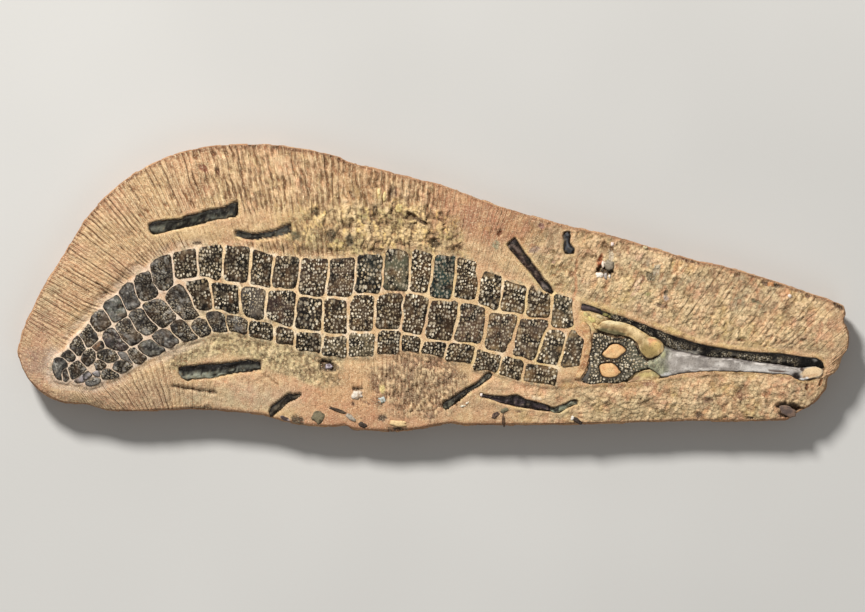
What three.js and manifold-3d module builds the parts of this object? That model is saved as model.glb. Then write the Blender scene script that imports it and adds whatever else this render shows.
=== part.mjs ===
// Fossil crocodile slab: a long-snouted crocodile, flattened with its back up, in a slab of sandy
// limestone whose face was worked away with a narrow chisel until the bones stood free.
//
// Millimetres. +X runs to the snout, +Y to the long straight edge, +Z out of the worked face.
// The origin lies on the flat back, under the centre of the slab's box.
//
// Outlines are laid out on a plan sheet: x to the right and y down, in millimetres, with the
// part's origin at PLAN_ORIGIN. plan() turns a sheet point into one of the part's own.

import * as THREE from 'three';
import { mergeVertices } from 'three/addons/utils/BufferGeometryUtils.js';
import Module from 'manifold-3d';

const wasm = await Module();
wasm.setup();

// ---------------------------------------------------------------- driving dimensions

const PLAN_ORIGIN = { x: 433.5, y: 288.1 };

const FACE_Z = 34;            // worked face beside the fossil, above the flat back
const EDGE_FALL = 3.5;        // how far the face falls towards the rim
const RIM_INSET = 2.5;        // bevel round the rim, seen from above
const WIDEST_Z = 21;          // the broken side bulges most at this height
const BASE_INSET = 6;         // and draws in to the back
const BASE_ROUGHNESS = 3;     // uneven part of that inset
const BED_Z = 30;             // floor of the long bed that holds the armour and the skull
const BED_WALL = 2;           // width of the sloping wall round the bed
const FIT_GAP = 0.3;          // clearance between a bone and the stone that holds it

const CHISEL_PITCH = 6.5;     // spacing of mesh columns where chisel marks show
const COARSE_PITCH = 13;      // and where the face is only lumpy
const CHISEL_HEIGHT = 1.8;    // crest to valley
const LUMP_HEIGHT = 1.6;      // highest to lowest on the lumpy part
const CHISEL_END_X = 430;     // on the sheet: chisel marks fade out from here ...
const LUMPS_START_X = 570;    // ... to here, where the lumps take over

const SCUTE_EDGE_Z = 33;      // top of a plate's edge at the side of the animal
const ARCH_RISE = 3.4;        // the armour stands this much higher along the back's centre line
const ARCH_HALF_WIDTH = 75;
const SCUTE_CROWN = 0.9;      // each plate is domed by this much
const SCUTE_CORNER = 0.22;    // share of each side that a rounded corner takes
const SCUTE_SHOULDER = 0.68;  // size of the domed top against the whole plate
const TAIL_SKIN = 1.6;        // thickness of the sheet that the small tail plates grow from
const SKULL_THICKNESS = 5.4;
const SKULL_BEVEL = 1.1;

// ---------------------------------------------------------------- outlines on the plan sheet

// Clockwise from the leftmost point.
const SLAB_OUTLINE = [
  [16, 352], [18, 343], [21, 330], [24.5, 322], [32.5, 307], [35.5, 298], [39.5, 291], [46, 280],
  [53, 269], [59, 259], [65, 250], [70, 241], [76, 231], [83.5, 219.5], [91.5, 209.5],
  [101.5, 198.5], [111, 190], [121, 181], [134, 172], [147, 165], [161, 158], [175.5, 152.5],
  [190.5, 148.7], [205, 145.7], [220, 143.6], [258, 143.2], [281, 144.3], [309, 148.2],
  [337, 155], [348, 160.8], [365, 165], [401, 174], [440, 183.2], [497, 204.2], [563, 223.6],
  [607, 233.2], [641, 243], [674, 253], [700, 260.8], [724, 264.8], [763, 276], [804, 290],
  [835, 300.5], [845, 305], [847, 314], [844.5, 319], [849, 328], [851, 336], [849.5, 348],
  [843, 357], [840.5, 367], [836.5, 372.5], [829, 377], [827.5, 389], [819.5, 399.5],
  [809.5, 408.5], [798, 412.5], [792.5, 418.5], [785, 421.3], [749, 422.3], [680, 422],
  [624, 424], [585, 425], [541, 426.2], [485, 426.2], [463, 426.3], [455, 424.5], [438, 426.3],
  [421, 430], [393, 433], [354, 430.8], [344, 426.5], [334, 428.3], [306, 427], [281, 422],
  [261, 416], [241, 413.8], [213, 411], [190, 410], [157, 411.5], [135, 412.2], [108, 411.5],
  [95, 407.5], [86, 405], [66, 404.5], [53, 400.5], [38, 391.5], [26.5, 379], [20, 366],
];

// The bed that holds tail, armour, skull and snout, clockwise from the tip of the tail.
const BED_OUTLINE = [
  [46, 368], [54, 352], [63, 342], [73, 328], [86, 316], [100, 300], [115, 287], [130, 272],
  [146, 259], [166, 249], [176, 245], [198, 242], [222, 240], [250, 242], [272, 249],
  [300, 253], [330, 252], [352, 252], [380, 249], [388, 243], [407, 245], [432, 249],
  [455, 250], [477, 256], [490, 266], [505, 273], [530, 283], [545, 290], [574, 293],
  [586, 299], [604, 303], [622, 309], [642, 317], [662, 325], [690, 334], [712, 341],
  [740, 346], [775, 348], [800, 351], [817, 353], [826, 359], [828, 367], [824, 376],
  [816, 383], [800, 384], [790, 379], [765, 376], [740, 375], [712, 376], [690, 379],
  [665, 381], [655, 387], [630, 388], [604, 388], [580, 388], [562, 390], [540, 389],
  [522, 386], [500, 378], [472, 374], [446, 366], [420, 361], [395, 359], [372, 362],
  [350, 361], [320, 362], [296, 356], [275, 350], [250, 342], [228, 338], [206, 342],
  [188, 347], [166, 358], [150, 363], [136, 371], [120, 380], [106, 385], [90, 392],
  [70, 387], [54, 386], [47, 378],
];

// Lines that the chisel marks run along: [outer x, outer y, inner x, inner y], clockwise.
const RIBS = [
  [16, 352, 46, 368], [21, 330, 52, 356], [32.5, 307, 73, 328], [46, 280, 95, 306],
  [65, 250, 119, 283], [101.5, 198.5, 153, 255], [134, 172, 176, 245], [175.5, 152.5, 210, 241],
  [220, 143.6, 246, 242], [258, 143.2, 278, 250], [281, 144.3, 297, 252], [337, 155, 343, 252],
  [401, 174, 398, 244], [440, 183.2, 436, 249], [497, 204.2, 482, 260], [563, 223.6, 532, 284],
  [607, 233.2, 570, 293], [674, 253, 634, 314], [763, 276, 712, 341], [835, 300.5, 785, 349],
  [851, 336, 824, 358], [849.5, 348, 828, 367], [829, 377, 822, 378], [819.5, 399.5, 804, 384],
  [785, 421.3, 778, 377], [749, 422.3, 735, 375], [680, 422, 668, 381], [624, 424, 615, 388],
  [585, 425, 575, 388], [541, 426.2, 537, 388], [485, 426.2, 482, 375], [438, 426.3, 434, 363],
  [393, 433, 392, 359], [344, 426.5, 345, 361], [306, 427, 305, 358], [261, 416, 272, 349],
  [213, 411, 228, 338], [157, 411.5, 188, 347], [135, 412.2, 160, 360], [108, 411.5, 132, 373],
  [86, 405, 106, 385], [66, 404.5, 82, 390], [38, 391.5, 58, 386], [26.5, 379, 49, 380],
];

// The animal's centre line, from the tip of the tail to the neck.
const BACK_LINE = [
  [56, 368], [100, 343], [150, 314], [200, 303], [260, 304], [330, 314], [400, 315],
  [450, 321], [500, 334], [560, 347], [640, 362],
];

// Plates, tail to neck: upper left, upper right, lower right, lower left corner of each.
const SCUTES_UPPER = [
  [[174, 252], [196, 248], [198, 276], [174, 279]], [[200, 247], [221, 245], [219, 277], [200, 276]],
  [[226, 246], [249, 247], [246, 281], [225, 279]], [[254, 250], [272, 255], [269, 287], [251, 283]],
  [[277, 256], [297, 257], [294, 287], [273, 286]], [[303, 259], [328, 258], [323, 295], [300, 292]],
  [[332, 258], [353, 258], [351, 297], [327, 295]], [[360, 254], [380, 255], [379, 293], [357, 291]],
  [[388, 248], [406, 251], [407, 289], [385, 287]], [[415, 250], [431, 254], [426, 291], [411, 289]],
  [[438, 256], [454, 255], [450, 298], [430, 296]], [[461, 258], [475, 261], [475, 298], [455, 296]],
  [[485, 272], [501, 276], [497, 308], [479, 303]], [[506, 281], [524, 286], [523, 312], [501, 310]],
  [[530, 288], [549, 295], [547, 315], [528, 314]], [[556, 294], [572, 297], [574, 326], [552, 325]],
];
const SCUTES_MIDDLE = [
  [[186, 281], [207, 278], [213, 308], [197, 308]], [[212, 284], [238, 286], [238, 312], [215, 309]],
  [[241, 288], [265, 290], [263, 318], [246, 316]], [[269, 291], [294, 293], [292, 325], [267, 317]],
  [[299, 298], [321, 300], [320, 330], [296, 327]], [[326, 300], [345, 300], [346, 333], [324, 331]],
  [[353, 296], [373, 297], [371, 330], [350, 328]], [[380, 295], [401, 296], [397, 328], [376, 327]],
  [[407, 295], [427, 298], [420, 333], [404, 331]], [[433, 302], [457, 303], [449, 340], [427, 336]],
  [[463, 305], [484, 308], [478, 342], [456, 340]], [[492, 314], [517, 316], [504, 351], [486, 348]],
  [[522, 320], [546, 322], [533, 358], [514, 354]], [[549, 331], [565, 335], [556, 365], [537, 361]],
  [[572, 331], [584, 340], [579, 366], [561, 366]],
];
const SCUTES_LOWER = [
  [[250, 323], [272, 325], [272, 340], [251, 337]], [[277, 328], [292, 330], [294, 345], [277, 343]],
  [[297, 333], [319, 335], [319, 353], [297, 350]], [[325, 336], [346, 338], [344, 358], [324, 356]],
  [[351, 333], [374, 334], [372, 357], [351, 356]], [[380, 332], [400, 333], [395, 354], [379, 353]],
  [[404, 336], [419, 339], [417, 353], [403, 350]], [[424, 342], [445, 344], [441, 356], [422, 353]],
  [[451, 345], [474, 347], [470, 362], [446, 361]], [[479, 350], [500, 355], [495, 371], [474, 369]],
  [[505, 359], [521, 361], [519, 380], [499, 374]], [[529, 365], [557, 369], [555, 386], [525, 381]],
];
const TAIL_PLATES = [
  [[53, 364], [60, 357], [65, 364], [56, 378]], [[62, 355], [69, 349], [71, 357], [65, 362]],
  [[70, 344], [77, 334], [85, 349], [77, 358]], [[80, 333], [89, 323], [98, 340], [90, 346]],
  [[92, 317], [101, 309], [109, 323], [99, 330]], [[104, 305], [115, 297], [125, 315], [115, 323]],
  [[120, 293], [129, 284], [138, 304], [129, 309]], [[134, 281], [147, 272], [158, 295], [147, 301]],
  [[151, 264], [168, 255], [173, 286], [155, 290]],
  [[61, 374], [67, 369], [70, 377], [64, 380]], [[71, 369], [78, 362], [85, 368], [74, 379]],
  [[82, 357], [90, 349], [96, 359], [88, 367]], [[94, 353], [108, 349], [118, 356], [104, 361]],
  [[104, 333], [113, 328], [127, 345], [112, 349]], [[116, 326], [126, 318], [142, 337], [132, 346]],
  [[131, 314], [141, 310], [157, 326], [147, 335]], [[143, 304], [159, 299], [176, 317], [161, 326]],
  [[168, 292], [182, 287], [199, 317], [181, 316]],
  [[85, 382], [97, 378], [99, 384], [88, 387]], [[101, 371], [110, 368], [119, 375], [108, 380]],
  [[113, 366], [123, 359], [134, 367], [120, 374]], [[127, 350], [134, 349], [146, 358], [133, 365]],
  [[137, 345], [145, 338], [165, 351], [150, 358]], [[152, 334], [164, 329], [179, 343], [162, 348]],
  [[176, 323], [182, 320], [197, 338], [186, 342]], [[192, 320], [203, 321], [210, 336], [199, 336]],
  [[209, 314], [221, 315], [226, 332], [213, 331]], [[229, 317], [246, 321], [245, 334], [230, 331]],
  [[93, 364], [103, 362], [105, 366], [96, 371]],
];
const TAIL_OUTLINE = [
  [51, 366], [58, 355], [67, 346], [76, 332], [88, 321], [103, 304], [118, 292], [133, 278],
  [148, 265], [168.5, 254], [172.5, 279], [175, 288], [183, 286], [200, 319], [209, 312.5],
  [226, 314], [247.5, 319.5], [246.5, 336], [228, 334], [205, 338], [187, 344], [166, 352],
  [150, 361], [135, 368], [120, 377], [108, 383], [90, 389], [80, 382], [62, 382], [53, 378],
];

const SKULL_ROOF = [
  [592, 335], [600, 333.5], [612, 337], [625, 338], [633, 341], [636, 348], [640, 356],
  [646, 361], [648, 365], [642, 369], [634, 373], [629, 378], [622, 381.5], [604, 382.5],
  [587, 382.5], [582, 380], [586, 374], [588, 362], [590, 350],
];
const SKULL_OPENINGS = [
  [[602, 354], [608, 359.3], [618, 359], [626.5, 351], [620, 344.5], [609.5, 344.5]],
  [[599.5, 368], [602, 363], [613, 363.5], [619.5, 371], [615, 377], [604, 377]],
];
const OPENING_FILL = 0.86;    // the stone in an opening, against the opening

// Bones that taper along their length: [upper edge x, y, lower edge x, y, height] of each section.
const JAW = [
  [581, 302.5, 582, 310.5, 2.6], [597, 306.5, 597, 312, 2.8], [612, 312.5, 611, 317, 3],
  [630, 317.5, 628, 322.5, 3.2], [648, 325, 643, 331, 3.4], [665, 331, 658, 338.5, 3.5],
  [682, 336.5, 674, 349, 3.4], [700, 343.5, 692, 353, 3.2], [720, 347.5, 716, 354.8, 2.8],
  [742, 350.5, 740, 358.5, 2.8], [770, 352, 768, 362.7, 2.8], [796, 355, 794, 366, 2.6],
  [814, 357, 810, 366, 2.2], [821, 360.5, 817, 366.2, 1.8], [824, 365, 823, 366.6, 1.2],
];
const SNOUT = [
  [652, 361.5, 653, 368, 3], [659, 358, 660, 374.5, 4.4], [664, 352, 664, 376, 5],
  [672, 351.5, 673, 375, 5.2], [692, 354.8, 693, 373.5, 5], [716, 356.8, 716, 371, 4.6],
  [740, 360, 741, 370.5, 4.2], [768, 364.2, 769, 371.5, 3.8], [794, 367.6, 793, 375, 3.8],
  [803, 368, 800, 380, 4], [812, 367.6, 809, 379.5, 4], [819, 367.8, 818, 376.5, 3.4],
  [824, 368.5, 824, 371, 2],
];
const CHEEK_BONE = [
  [600, 323, 601, 330, 3], [612, 321.5, 611, 332.5, 4.2], [626, 324.5, 625, 335, 4.8],
  [636, 330, 634, 338.5, 5], [646, 336, 640, 348, 5], [655, 341, 646, 355.5, 4.6],
  [663, 346, 656, 356, 3],
];
const LOWER_CHEEK_BONE = [
  [632, 378, 631, 382.5, 2], [640, 373.5, 639, 383.5, 3.2], [648, 371.5, 648, 382.5, 3.2],
  [654, 374.5, 654, 380, 2],
];

// Loose bones: [x, y, half-width] along each, with how high it lies and its half-height.
const LOOSE_BONES = {
  long_bone_upper_left: {
    along: [[149, 229.5, 3.5], [158, 228.5, 6], [175, 224.5, 6], [190, 221, 5.5], [205, 216, 4.5],
      [220, 212, 5], [232, 210, 7], [238, 208.5, 7.5]],
    z: 31.6, halfHeight: 3.4,
  },
  rib_upper_left: {
    along: [[236, 233, 2], [246, 235.5, 2.7], [256, 236, 2.7], [266, 234.5, 3], [276, 231, 3.2],
      [285, 228.5, 3.8], [290.5, 227, 4]],
    z: 31.8, halfHeight: 2.4,
  },
  long_bone_lower_left: {
    along: [[179, 372, 3.5], [187, 374.5, 6], [200, 372, 5.5], [215, 370.5, 5.5], [230, 368.5, 5],
      [245, 366.5, 5], [260.5, 365.5, 4]],
    z: 31.4, halfHeight: 3.2,
  },
  splinter_lower_left: {
    along: [[270, 412.5, 2], [277, 407.5, 3], [284, 401.5, 3.8], [291, 396.5, 3], [300, 394, 1.5]],
    z: 31, halfHeight: 1.8,
  },
  long_bone_upper_right: {
    along: [[510, 243, 4.5], [517, 249, 5], [525.5, 260.5, 5], [534.5, 272.5, 5], [545, 286, 4.6]],
    z: 31.4, halfHeight: 3,
  },
  short_bone_upper_right: {
    along: [[567, 233, 4.4], [567.5, 238, 3], [568.5, 245, 4], [568.5, 252, 5]],
    z: 31.6, halfHeight: 2.4,
  },
  rod_bone_lower: {
    along: [[444, 407, 3.5], [455, 398, 3.6], [467, 391, 3.6], [479, 383, 3.2], [489, 377, 2.5]],
    z: 31.6, halfHeight: 2.6,
  },
  long_bone_lower: {
    along: [[482, 395, 1.8], [495, 398, 2.8], [508, 400.5, 4.2], [518, 401.5, 5.5],
      [530, 404.5, 4.5], [541, 406.5, 3.8], [549, 408, 2.6]],
    z: 31.4, halfHeight: 2.8,
  },
  thin_bone_lower: {
    along: [[553, 409.5, 1.6], [559, 411, 1.8], [566, 407.5, 1.8], [576, 401.5, 2.4]],
    z: 31.8, halfHeight: 1.7,
  },
};
const BONE_SIDES = 6;

// Hollows and lumps of the face: centre, half-sizes along and across, turn in degrees, centre z.
const HOLLOWS = [
  { at: [790, 411], half: [9, 7], turn: 20, z: 34, depth: 7 },
  { at: [806, 408], half: [7, 3], turn: -8, z: 33, depth: 5 },
  { at: [843, 306], half: [7, 3.5], turn: -10, z: 32, depth: 6 },
  { at: [418, 219], half: [11, 3.5], turn: -36, z: 34.6, depth: 3 },
  { at: [606, 270], half: [9, 5], turn: 15, z: 34, depth: 5 },
  { at: [329, 366], half: [7, 5], turn: -20, z: 34.4, depth: 3.5 },
  { at: [689, 259], half: [11, 3], turn: -16, z: 32.5, depth: 3.5 },
];
const LUMPS = [
  { at: [609, 263], half: [6.5, 5], turn: 0, z: 32.6, depth: 3.4 },
  { at: [357, 395], half: [6.5, 5], turn: 0, z: 33.2, depth: 3 },
  { at: [398, 423], half: [10, 4], turn: 0, z: 31.2, depth: 2.6 },
  { at: [318, 416], half: [6, 6.5], turn: 0, z: 32.2, depth: 2.2 },
  { at: [652, 276], half: [5, 4.5], turn: 0, z: 33, depth: 2.4 },
  { at: [348, 418], half: [8, 3], turn: -30, z: 31.8, depth: 2 },
];

const COLOURS = {
  stone: '#c99d72', scute: '#4a453e', tail: '#45423c', skull: '#4e4b47', cheek: '#bfa671',
  snout: '#a39e9a', jaw: '#1f1b19', bone: '#3d3c3b', paleBone: '#8d9687',
};

// ---------------------------------------------------------------- plan geometry

const plan = ([x, y]) => new THREE.Vector2(x - PLAN_ORIGIN.x, PLAN_ORIGIN.y - y);
const lift = (point, z) => new THREE.Vector3(point.x, point.y, z);
const smoothstep = THREE.MathUtils.smoothstep;

/** A closed line of plan points that can be walked by arc length. */
class Loop {
  constructor(points) {
    this.points = points.map(plan);
    this.starts = [];
    this.length = 0;
    for (const [i, point] of this.points.entries()) {
      this.starts.push(this.length);
      this.length += point.distanceTo(this.after(i));
    }
  }

  after(i) {
    return this.points[(i + 1) % this.points.length];
  }

  at(distance) {
    const s = THREE.MathUtils.euclideanModulo(distance, this.length);
    const i = this.starts.findLastIndex((start) => start <= s);
    const side = this.points[i].distanceTo(this.after(i));
    return this.points[i].clone().lerp(this.after(i), (s - this.starts[i]) / side);
  }

  /** Arc length of the point of the loop that lies nearest. */
  locate(target) {
    let best = { gap: Infinity, s: 0 };
    for (const [i, a] of this.points.entries()) {
      const side = this.after(i).clone().sub(a);
      const t = THREE.MathUtils.clamp(target.clone().sub(a).dot(side) / side.lengthSq(), 0, 1);
      const gap = target.distanceTo(a.clone().addScaledVector(side, t));
      if (gap < best.gap) best = { gap, s: this.starts[i] + t * side.length() };
    }
    return best.s;
  }
}

const centroid = (points) => points
  .reduce((sum, point) => sum.add(point), new THREE.Vector2())
  .divideScalar(points.length);

const scaled = (points, factor) => {
  const middle = centroid(points);
  return points.map((point) => middle.clone().lerp(point, factor));
};

/** Cuts each corner of a plan polygon back to two points. */
function roundedCorners(corners, share) {
  return corners.flatMap((corner, i) => {
    const before = corners[(i + corners.length - 1) % corners.length];
    const after = corners[(i + 1) % corners.length];
    return [corner.clone().lerp(before, share), corner.clone().lerp(after, share)];
  });
}

/** Height of the armour's arch above its edges. */
function archRise(point) {
  const line = BACK_LINE.map(plan);
  const i = Math.max(0, line.findLastIndex((p, k) => k < line.length - 1 && p.x <= point.x));
  const t = (point.x - line[i].x) / (line[i + 1].x - line[i].x);
  const centre = THREE.MathUtils.lerp(line[i].y, line[i + 1].y, t);
  const away = Math.min(1, Math.abs(point.y - centre) / ARCH_HALF_WIDTH);
  return ARCH_RISE * (1 - away * away);
}

// ---------------------------------------------------------------- closed meshes

/** Indexed geometry whose faces point outwards, from corner points and triangles. */
function closedGeometry(points, triangles) {
  const volume = triangles.reduce((sum, [a, b, c]) => (
    sum + points[a].dot(points[b].clone().cross(points[c]))), 0);
  const faces = volume < 0 ? triangles.map(([a, b, c]) => [a, c, b]) : triangles;
  const geometry = new THREE.BufferGeometry().setFromPoints(points);
  geometry.setIndex(faces.flat());
  geometry.computeVertexNormals();
  return geometry;
}

const fanCap = (ring) => ring.slice(2).map((_, k) => [0, k + 1, k + 2]);

const flatCap = (ring) => THREE.ShapeUtils.triangulateShape(ring, []).map(([a, b, c]) => {
  const turn = (p, q, r) => (q.x - p.x) * (r.y - p.y) - (q.y - p.y) * (r.x - p.x);
  const sameWay = turn(ring[a], ring[b], ring[c]) > 0 === THREE.ShapeUtils.area(ring) > 0;
  return sameWay ? [a, b, c] : [a, c, b];
});

/** Closed skin over rings with equal numbers of points; a peak closes the last ring. */
function skin(rings, cap = fanCap, peak = null) {
  const n = rings[0].length;
  const points = rings.flat();
  const triangles = cap(rings[0]).map(([a, b, c]) => [a, c, b]);
  for (let r = 0; r + 1 < rings.length; r += 1) {
    for (let j = 0; j < n; j += 1) {
      const next = (j + 1) % n;
      triangles.push([r * n + j, r * n + next, (r + 1) * n + next]);
      triangles.push([r * n + j, (r + 1) * n + next, (r + 1) * n + j]);
    }
  }
  const last = (rings.length - 1) * n;
  if (peak) {
    points.push(peak);
    for (let j = 0; j < n; j += 1) triangles.push([last + j, last + (j + 1) % n, points.length - 1]);
  } else {
    for (const face of cap(rings.at(-1))) triangles.push(face.map((k) => last + k));
  }
  return closedGeometry(points, triangles);
}

function toSolid(geometry) {
  const bare = geometry.clone();
  bare.deleteAttribute('normal');
  bare.deleteAttribute('uv');
  const merged = mergeVertices(bare, 1e-4);
  return new wasm.Manifold(new wasm.Mesh({
    numProp: 3,
    vertProperties: new Float32Array(merged.attributes.position.array),
    triVerts: new Uint32Array(merged.index.array),
  }));
}

function toGeometry(solid) {
  const { numProp, vertProperties, triVerts } = solid.getMesh();
  const positions = [];
  for (let i = 0; i < vertProperties.length; i += numProp) {
    positions.push(...vertProperties.slice(i, i + 3));
  }
  const geometry = new THREE.BufferGeometry();
  geometry.setAttribute('position', new THREE.Float32BufferAttribute(positions, 3));
  geometry.setIndex(Array.from(triVerts));
  geometry.computeVertexNormals();
  return geometry;
}

// ---------------------------------------------------------------- bones

/** A domed plate of bone, standing on a level bottom. */
function plateGeometry(outline, bottom) {
  const top = (point, crown) => lift(point, SCUTE_EDGE_Z + archRise(point) + crown);
  const shoulder = scaled(outline, SCUTE_SHOULDER);
  return skin([
    outline.map((point) => lift(point, bottom)),
    outline.map((point) => top(point, -SCUTE_CROWN)),
    shoulder.map((point) => top(point, SCUTE_CROWN * 0.6)),
  ], fanCap, top(centroid(outline), SCUTE_CROWN));
}

/** The small plates of the tail, which stand on one thin sheet. */
function tailGeometry() {
  const outline = TAIL_OUTLINE.map(plan);
  const sheetTop = (point) => SCUTE_EDGE_Z - SCUTE_CROWN - TAIL_SKIN + archRise(point);
  const sheet = skin([
    outline.map((point) => lift(point, BED_Z + FIT_GAP)),
    outline.map((point) => lift(point, Math.max(sheetTop(point), BED_Z + TAIL_SKIN))),
  ], flatCap);
  return toGeometry(TAIL_PLATES.reduce(
    (tail, corners) => tail.add(toSolid(plateGeometry(corners.map(plan), BED_Z + 2 * FIT_GAP))),
    toSolid(sheet),
  ));
}

/** A bone that lies on the bed's floor and arches between its two edges. */
function archedGeometry(sections) {
  const floor = BED_Z + FIT_GAP;
  return skin(sections.map(([ux, uy, lx, ly, height]) => {
    const upper = plan([ux, uy]);
    const lower = plan([lx, ly]);
    const across = (share, z) => lift(upper.clone().lerp(lower, share), floor + z);
    return [
      across(0, 0), across(0, height * 0.55), across(0.28, height * 0.93),
      across(0.66, height), across(1, height * 0.6), across(1, 0),
    ];
  }));
}

/** A rounded bone along a line, grown by a clearance. */
function rodGeometry({ along, z, halfHeight }, clearance = 0) {
  const line = along.map(plan);
  const rings = line.map((point, i) => {
    const before = line[Math.max(0, i - 1)];
    const after = line[Math.min(line.length - 1, i + 1)];
    const forward = after.clone().sub(before).normalize();
    const end = i === 0 ? -clearance : (i === line.length - 1) * clearance;
    const middle = point.clone().addScaledVector(forward, end);
    const side = new THREE.Vector2(-forward.y, forward.x);
    return Array.from({ length: BONE_SIDES }, (_, k) => {
      const angle = (k + 0.5) * 2 * Math.PI / BONE_SIDES;
      const away = Math.cos(angle) * (along[i][2] + clearance);
      const up = Math.sin(angle) * (halfHeight + clearance);
      return lift(middle.clone().addScaledVector(side, away), z + up);
    });
  });
  return skin(rings);
}

/** A flat-topped block between two heights, its top drawn in by a share of its size. */
function block(outline, bottom, shoulder, top, topShare) {
  return toSolid(skin([
    outline.map((point) => lift(point, bottom)),
    outline.map((point) => lift(point, shoulder)),
    scaled(outline, topShare).map((point) => lift(point, top)),
  ], flatCap));
}

/** The skull's pitted roof: a plate with bevelled edges and two openings. */
function skullRoofGeometry() {
  const floor = BED_Z + FIT_GAP;
  const top = floor + SKULL_THICKNESS;
  const roof = block(SKULL_ROOF.map(plan), floor, top - SKULL_BEVEL, top, 0.95);
  return toGeometry(SKULL_OPENINGS.reduce(
    (bone, opening) => bone.subtract(block(opening.map(plan), BED_Z, top, top + 1, 1)),
    roof,
  ));
}

// ---------------------------------------------------------------- the stone

/** Columns of the face, each from the bed's edge out to the slab's outline. */
function faceColumns() {
  const outline = new Loop(SLAB_OUTLINE);
  const bed = new Loop(BED_OUTLINE);
  const stops = RIBS.map(([ox, oy, ix, iy]) => ({
    x: ox, outer: outline.locate(plan([ox, oy])), inner: bed.locate(plan([ix, iy])),
  }));
  stops.push({ x: stops[0].x, outer: outline.length, inner: bed.length });
  const columns = [];
  for (let k = 0; k + 1 < stops.length; k += 1) {
    const [a, b] = [stops[k], stops[k + 1]];
    const pitch = Math.min(a.x, b.x) < CHISEL_END_X ? CHISEL_PITCH : COARSE_PITCH;
    const count = 2 * Math.max(1, Math.round((b.outer - a.outer) / pitch / 2));
    for (let j = 0; j < count; j += 1) {
      columns.push({
        outer: outline.at(THREE.MathUtils.lerp(a.outer, b.outer, j / count)),
        inner: bed.at(THREE.MathUtils.lerp(a.inner, b.inner, j / count)),
        crest: j % 2 ? -0.5 : 0.5,
      });
    }
  }
  return columns;
}

/** Repeatable noise from -0.5 to 0.5. */
function noise(a, b) {
  const value = Math.sin(a * 12.9898 + b * 78.233) * 43758.5453;
  return value - Math.floor(value) - 0.5;
}

/** Chisel marks on the tail's side of the slab, lumps on the snout's side. */
function relief(point, column, index, row) {
  const x = point.x + PLAN_ORIGIN.x;
  const lumpy = smoothstep(x, CHISEL_END_X, LUMPS_START_X);
  const chisel = column.crest * CHISEL_HEIGHT * (1 + noise(index, row));
  return chisel * (1 - lumpy) + noise(row, index) * LUMP_HEIGHT * (0.4 + 0.6 * lumpy);
}

function slabGeometry() {
  const columns = faceColumns();
  const onFace = (row, share) => columns.map((column, index) => {
    const point = column.inner.clone().lerp(column.outer, share);
    const level = FACE_Z - EDGE_FALL * share ** 2;
    return lift(point, level + relief(point, column, index, row));
  });
  const drawnIn = (inset, roughness, z) => columns.map(({ outer, inner }, index) => {
    const inward = inner.clone().sub(outer).normalize();
    const amount = inset + roughness * noise(index >> 1, z);
    return lift(outer.clone().addScaledVector(inward, amount), z);
  });
  const bedEdge = columns.map(({ inner }) => lift(inner, BED_Z));
  const bedTop = columns.map(({ inner, outer }) => {
    const outward = outer.clone().sub(inner).normalize();
    return lift(inner.clone().addScaledVector(outward, BED_WALL), FACE_Z);
  });
  return skin([
    bedEdge, bedTop, onFace(1, 0.45), onFace(2, 0.84),
    drawnIn(RIM_INSET, 0, FACE_Z - EDGE_FALL),
    drawnIn(0, 0, WIDEST_Z),
    drawnIn(BASE_INSET, BASE_ROUGHNESS, 0),
  ], flatCap);
}

/** A low-sided egg shape, for a hollow to cut or a lump to add. */
function egg({ at, half, turn, z, depth }) {
  const geometry = new THREE.SphereGeometry(1, 7, 4);
  geometry.scale(half[0], half[1], depth);
  geometry.rotateZ(THREE.MathUtils.degToRad(turn));
  const centre = plan(at);
  geometry.translate(centre.x, centre.y, z);
  return toSolid(geometry);
}

/** The stone that fills one opening of the skull roof, standing on the bed's floor. */
function openingFill(opening) {
  const outline = scaled(opening.map(plan), OPENING_FILL);
  const top = BED_Z + SKULL_THICKNESS;
  return block(outline, BED_Z - 1, top - 1.6, top - 0.3, 0.6);
}

function stoneGeometry() {
  let stone = toSolid(slabGeometry());
  for (const lump of LUMPS) stone = stone.add(egg(lump));
  for (const hollow of HOLLOWS) stone = stone.subtract(egg(hollow));
  for (const opening of SKULL_OPENINGS) stone = stone.add(openingFill(opening));
  for (const bone of Object.values(LOOSE_BONES)) {
    stone = stone.subtract(toSolid(rodGeometry(bone, FIT_GAP)));
  }
  return toGeometry(stone);
}

// ---------------------------------------------------------------- assembly

const fossil = new THREE.Group();

function add(name, geometry, colour, roughness = 0.75) {
  const material = new THREE.MeshStandardMaterial({ color: colour, roughness, metalness: 0 });
  const mesh = new THREE.Mesh(geometry, material);
  mesh.name = name;
  fossil.add(mesh);
}

function addScutes(row, plates) {
  plates.forEach((corners, i) => {
    const name = `scute_${row}_${String(i + 1).padStart(2, '0')}`;
    const outline = roundedCorners(corners.map(plan), SCUTE_CORNER);
    add(name, plateGeometry(outline, BED_Z + FIT_GAP), COLOURS.scute);
  });
}

add('stone_slab', stoneGeometry(), COLOURS.stone, 0.95);
add('tail_armour', tailGeometry(), COLOURS.tail);
addScutes('upper', SCUTES_UPPER);
addScutes('middle', SCUTES_MIDDLE);
addScutes('lower', SCUTES_LOWER);
add('skull_roof', skullRoofGeometry(), COLOURS.skull);
add('cheek_bone', archedGeometry(CHEEK_BONE), COLOURS.cheek, 0.6);
add('lower_cheek_bone', archedGeometry(LOWER_CHEEK_BONE), COLOURS.cheek, 0.6);
add('snout', archedGeometry(SNOUT), COLOURS.snout, 0.55);
add('jaw', archedGeometry(JAW), COLOURS.jaw, 0.6);
for (const [name, bone] of Object.entries(LOOSE_BONES)) {
  add(name, rodGeometry(bone), name === 'thin_bone_lower' ? COLOURS.paleBone : COLOURS.bone);
}

export default fossil;
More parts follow.
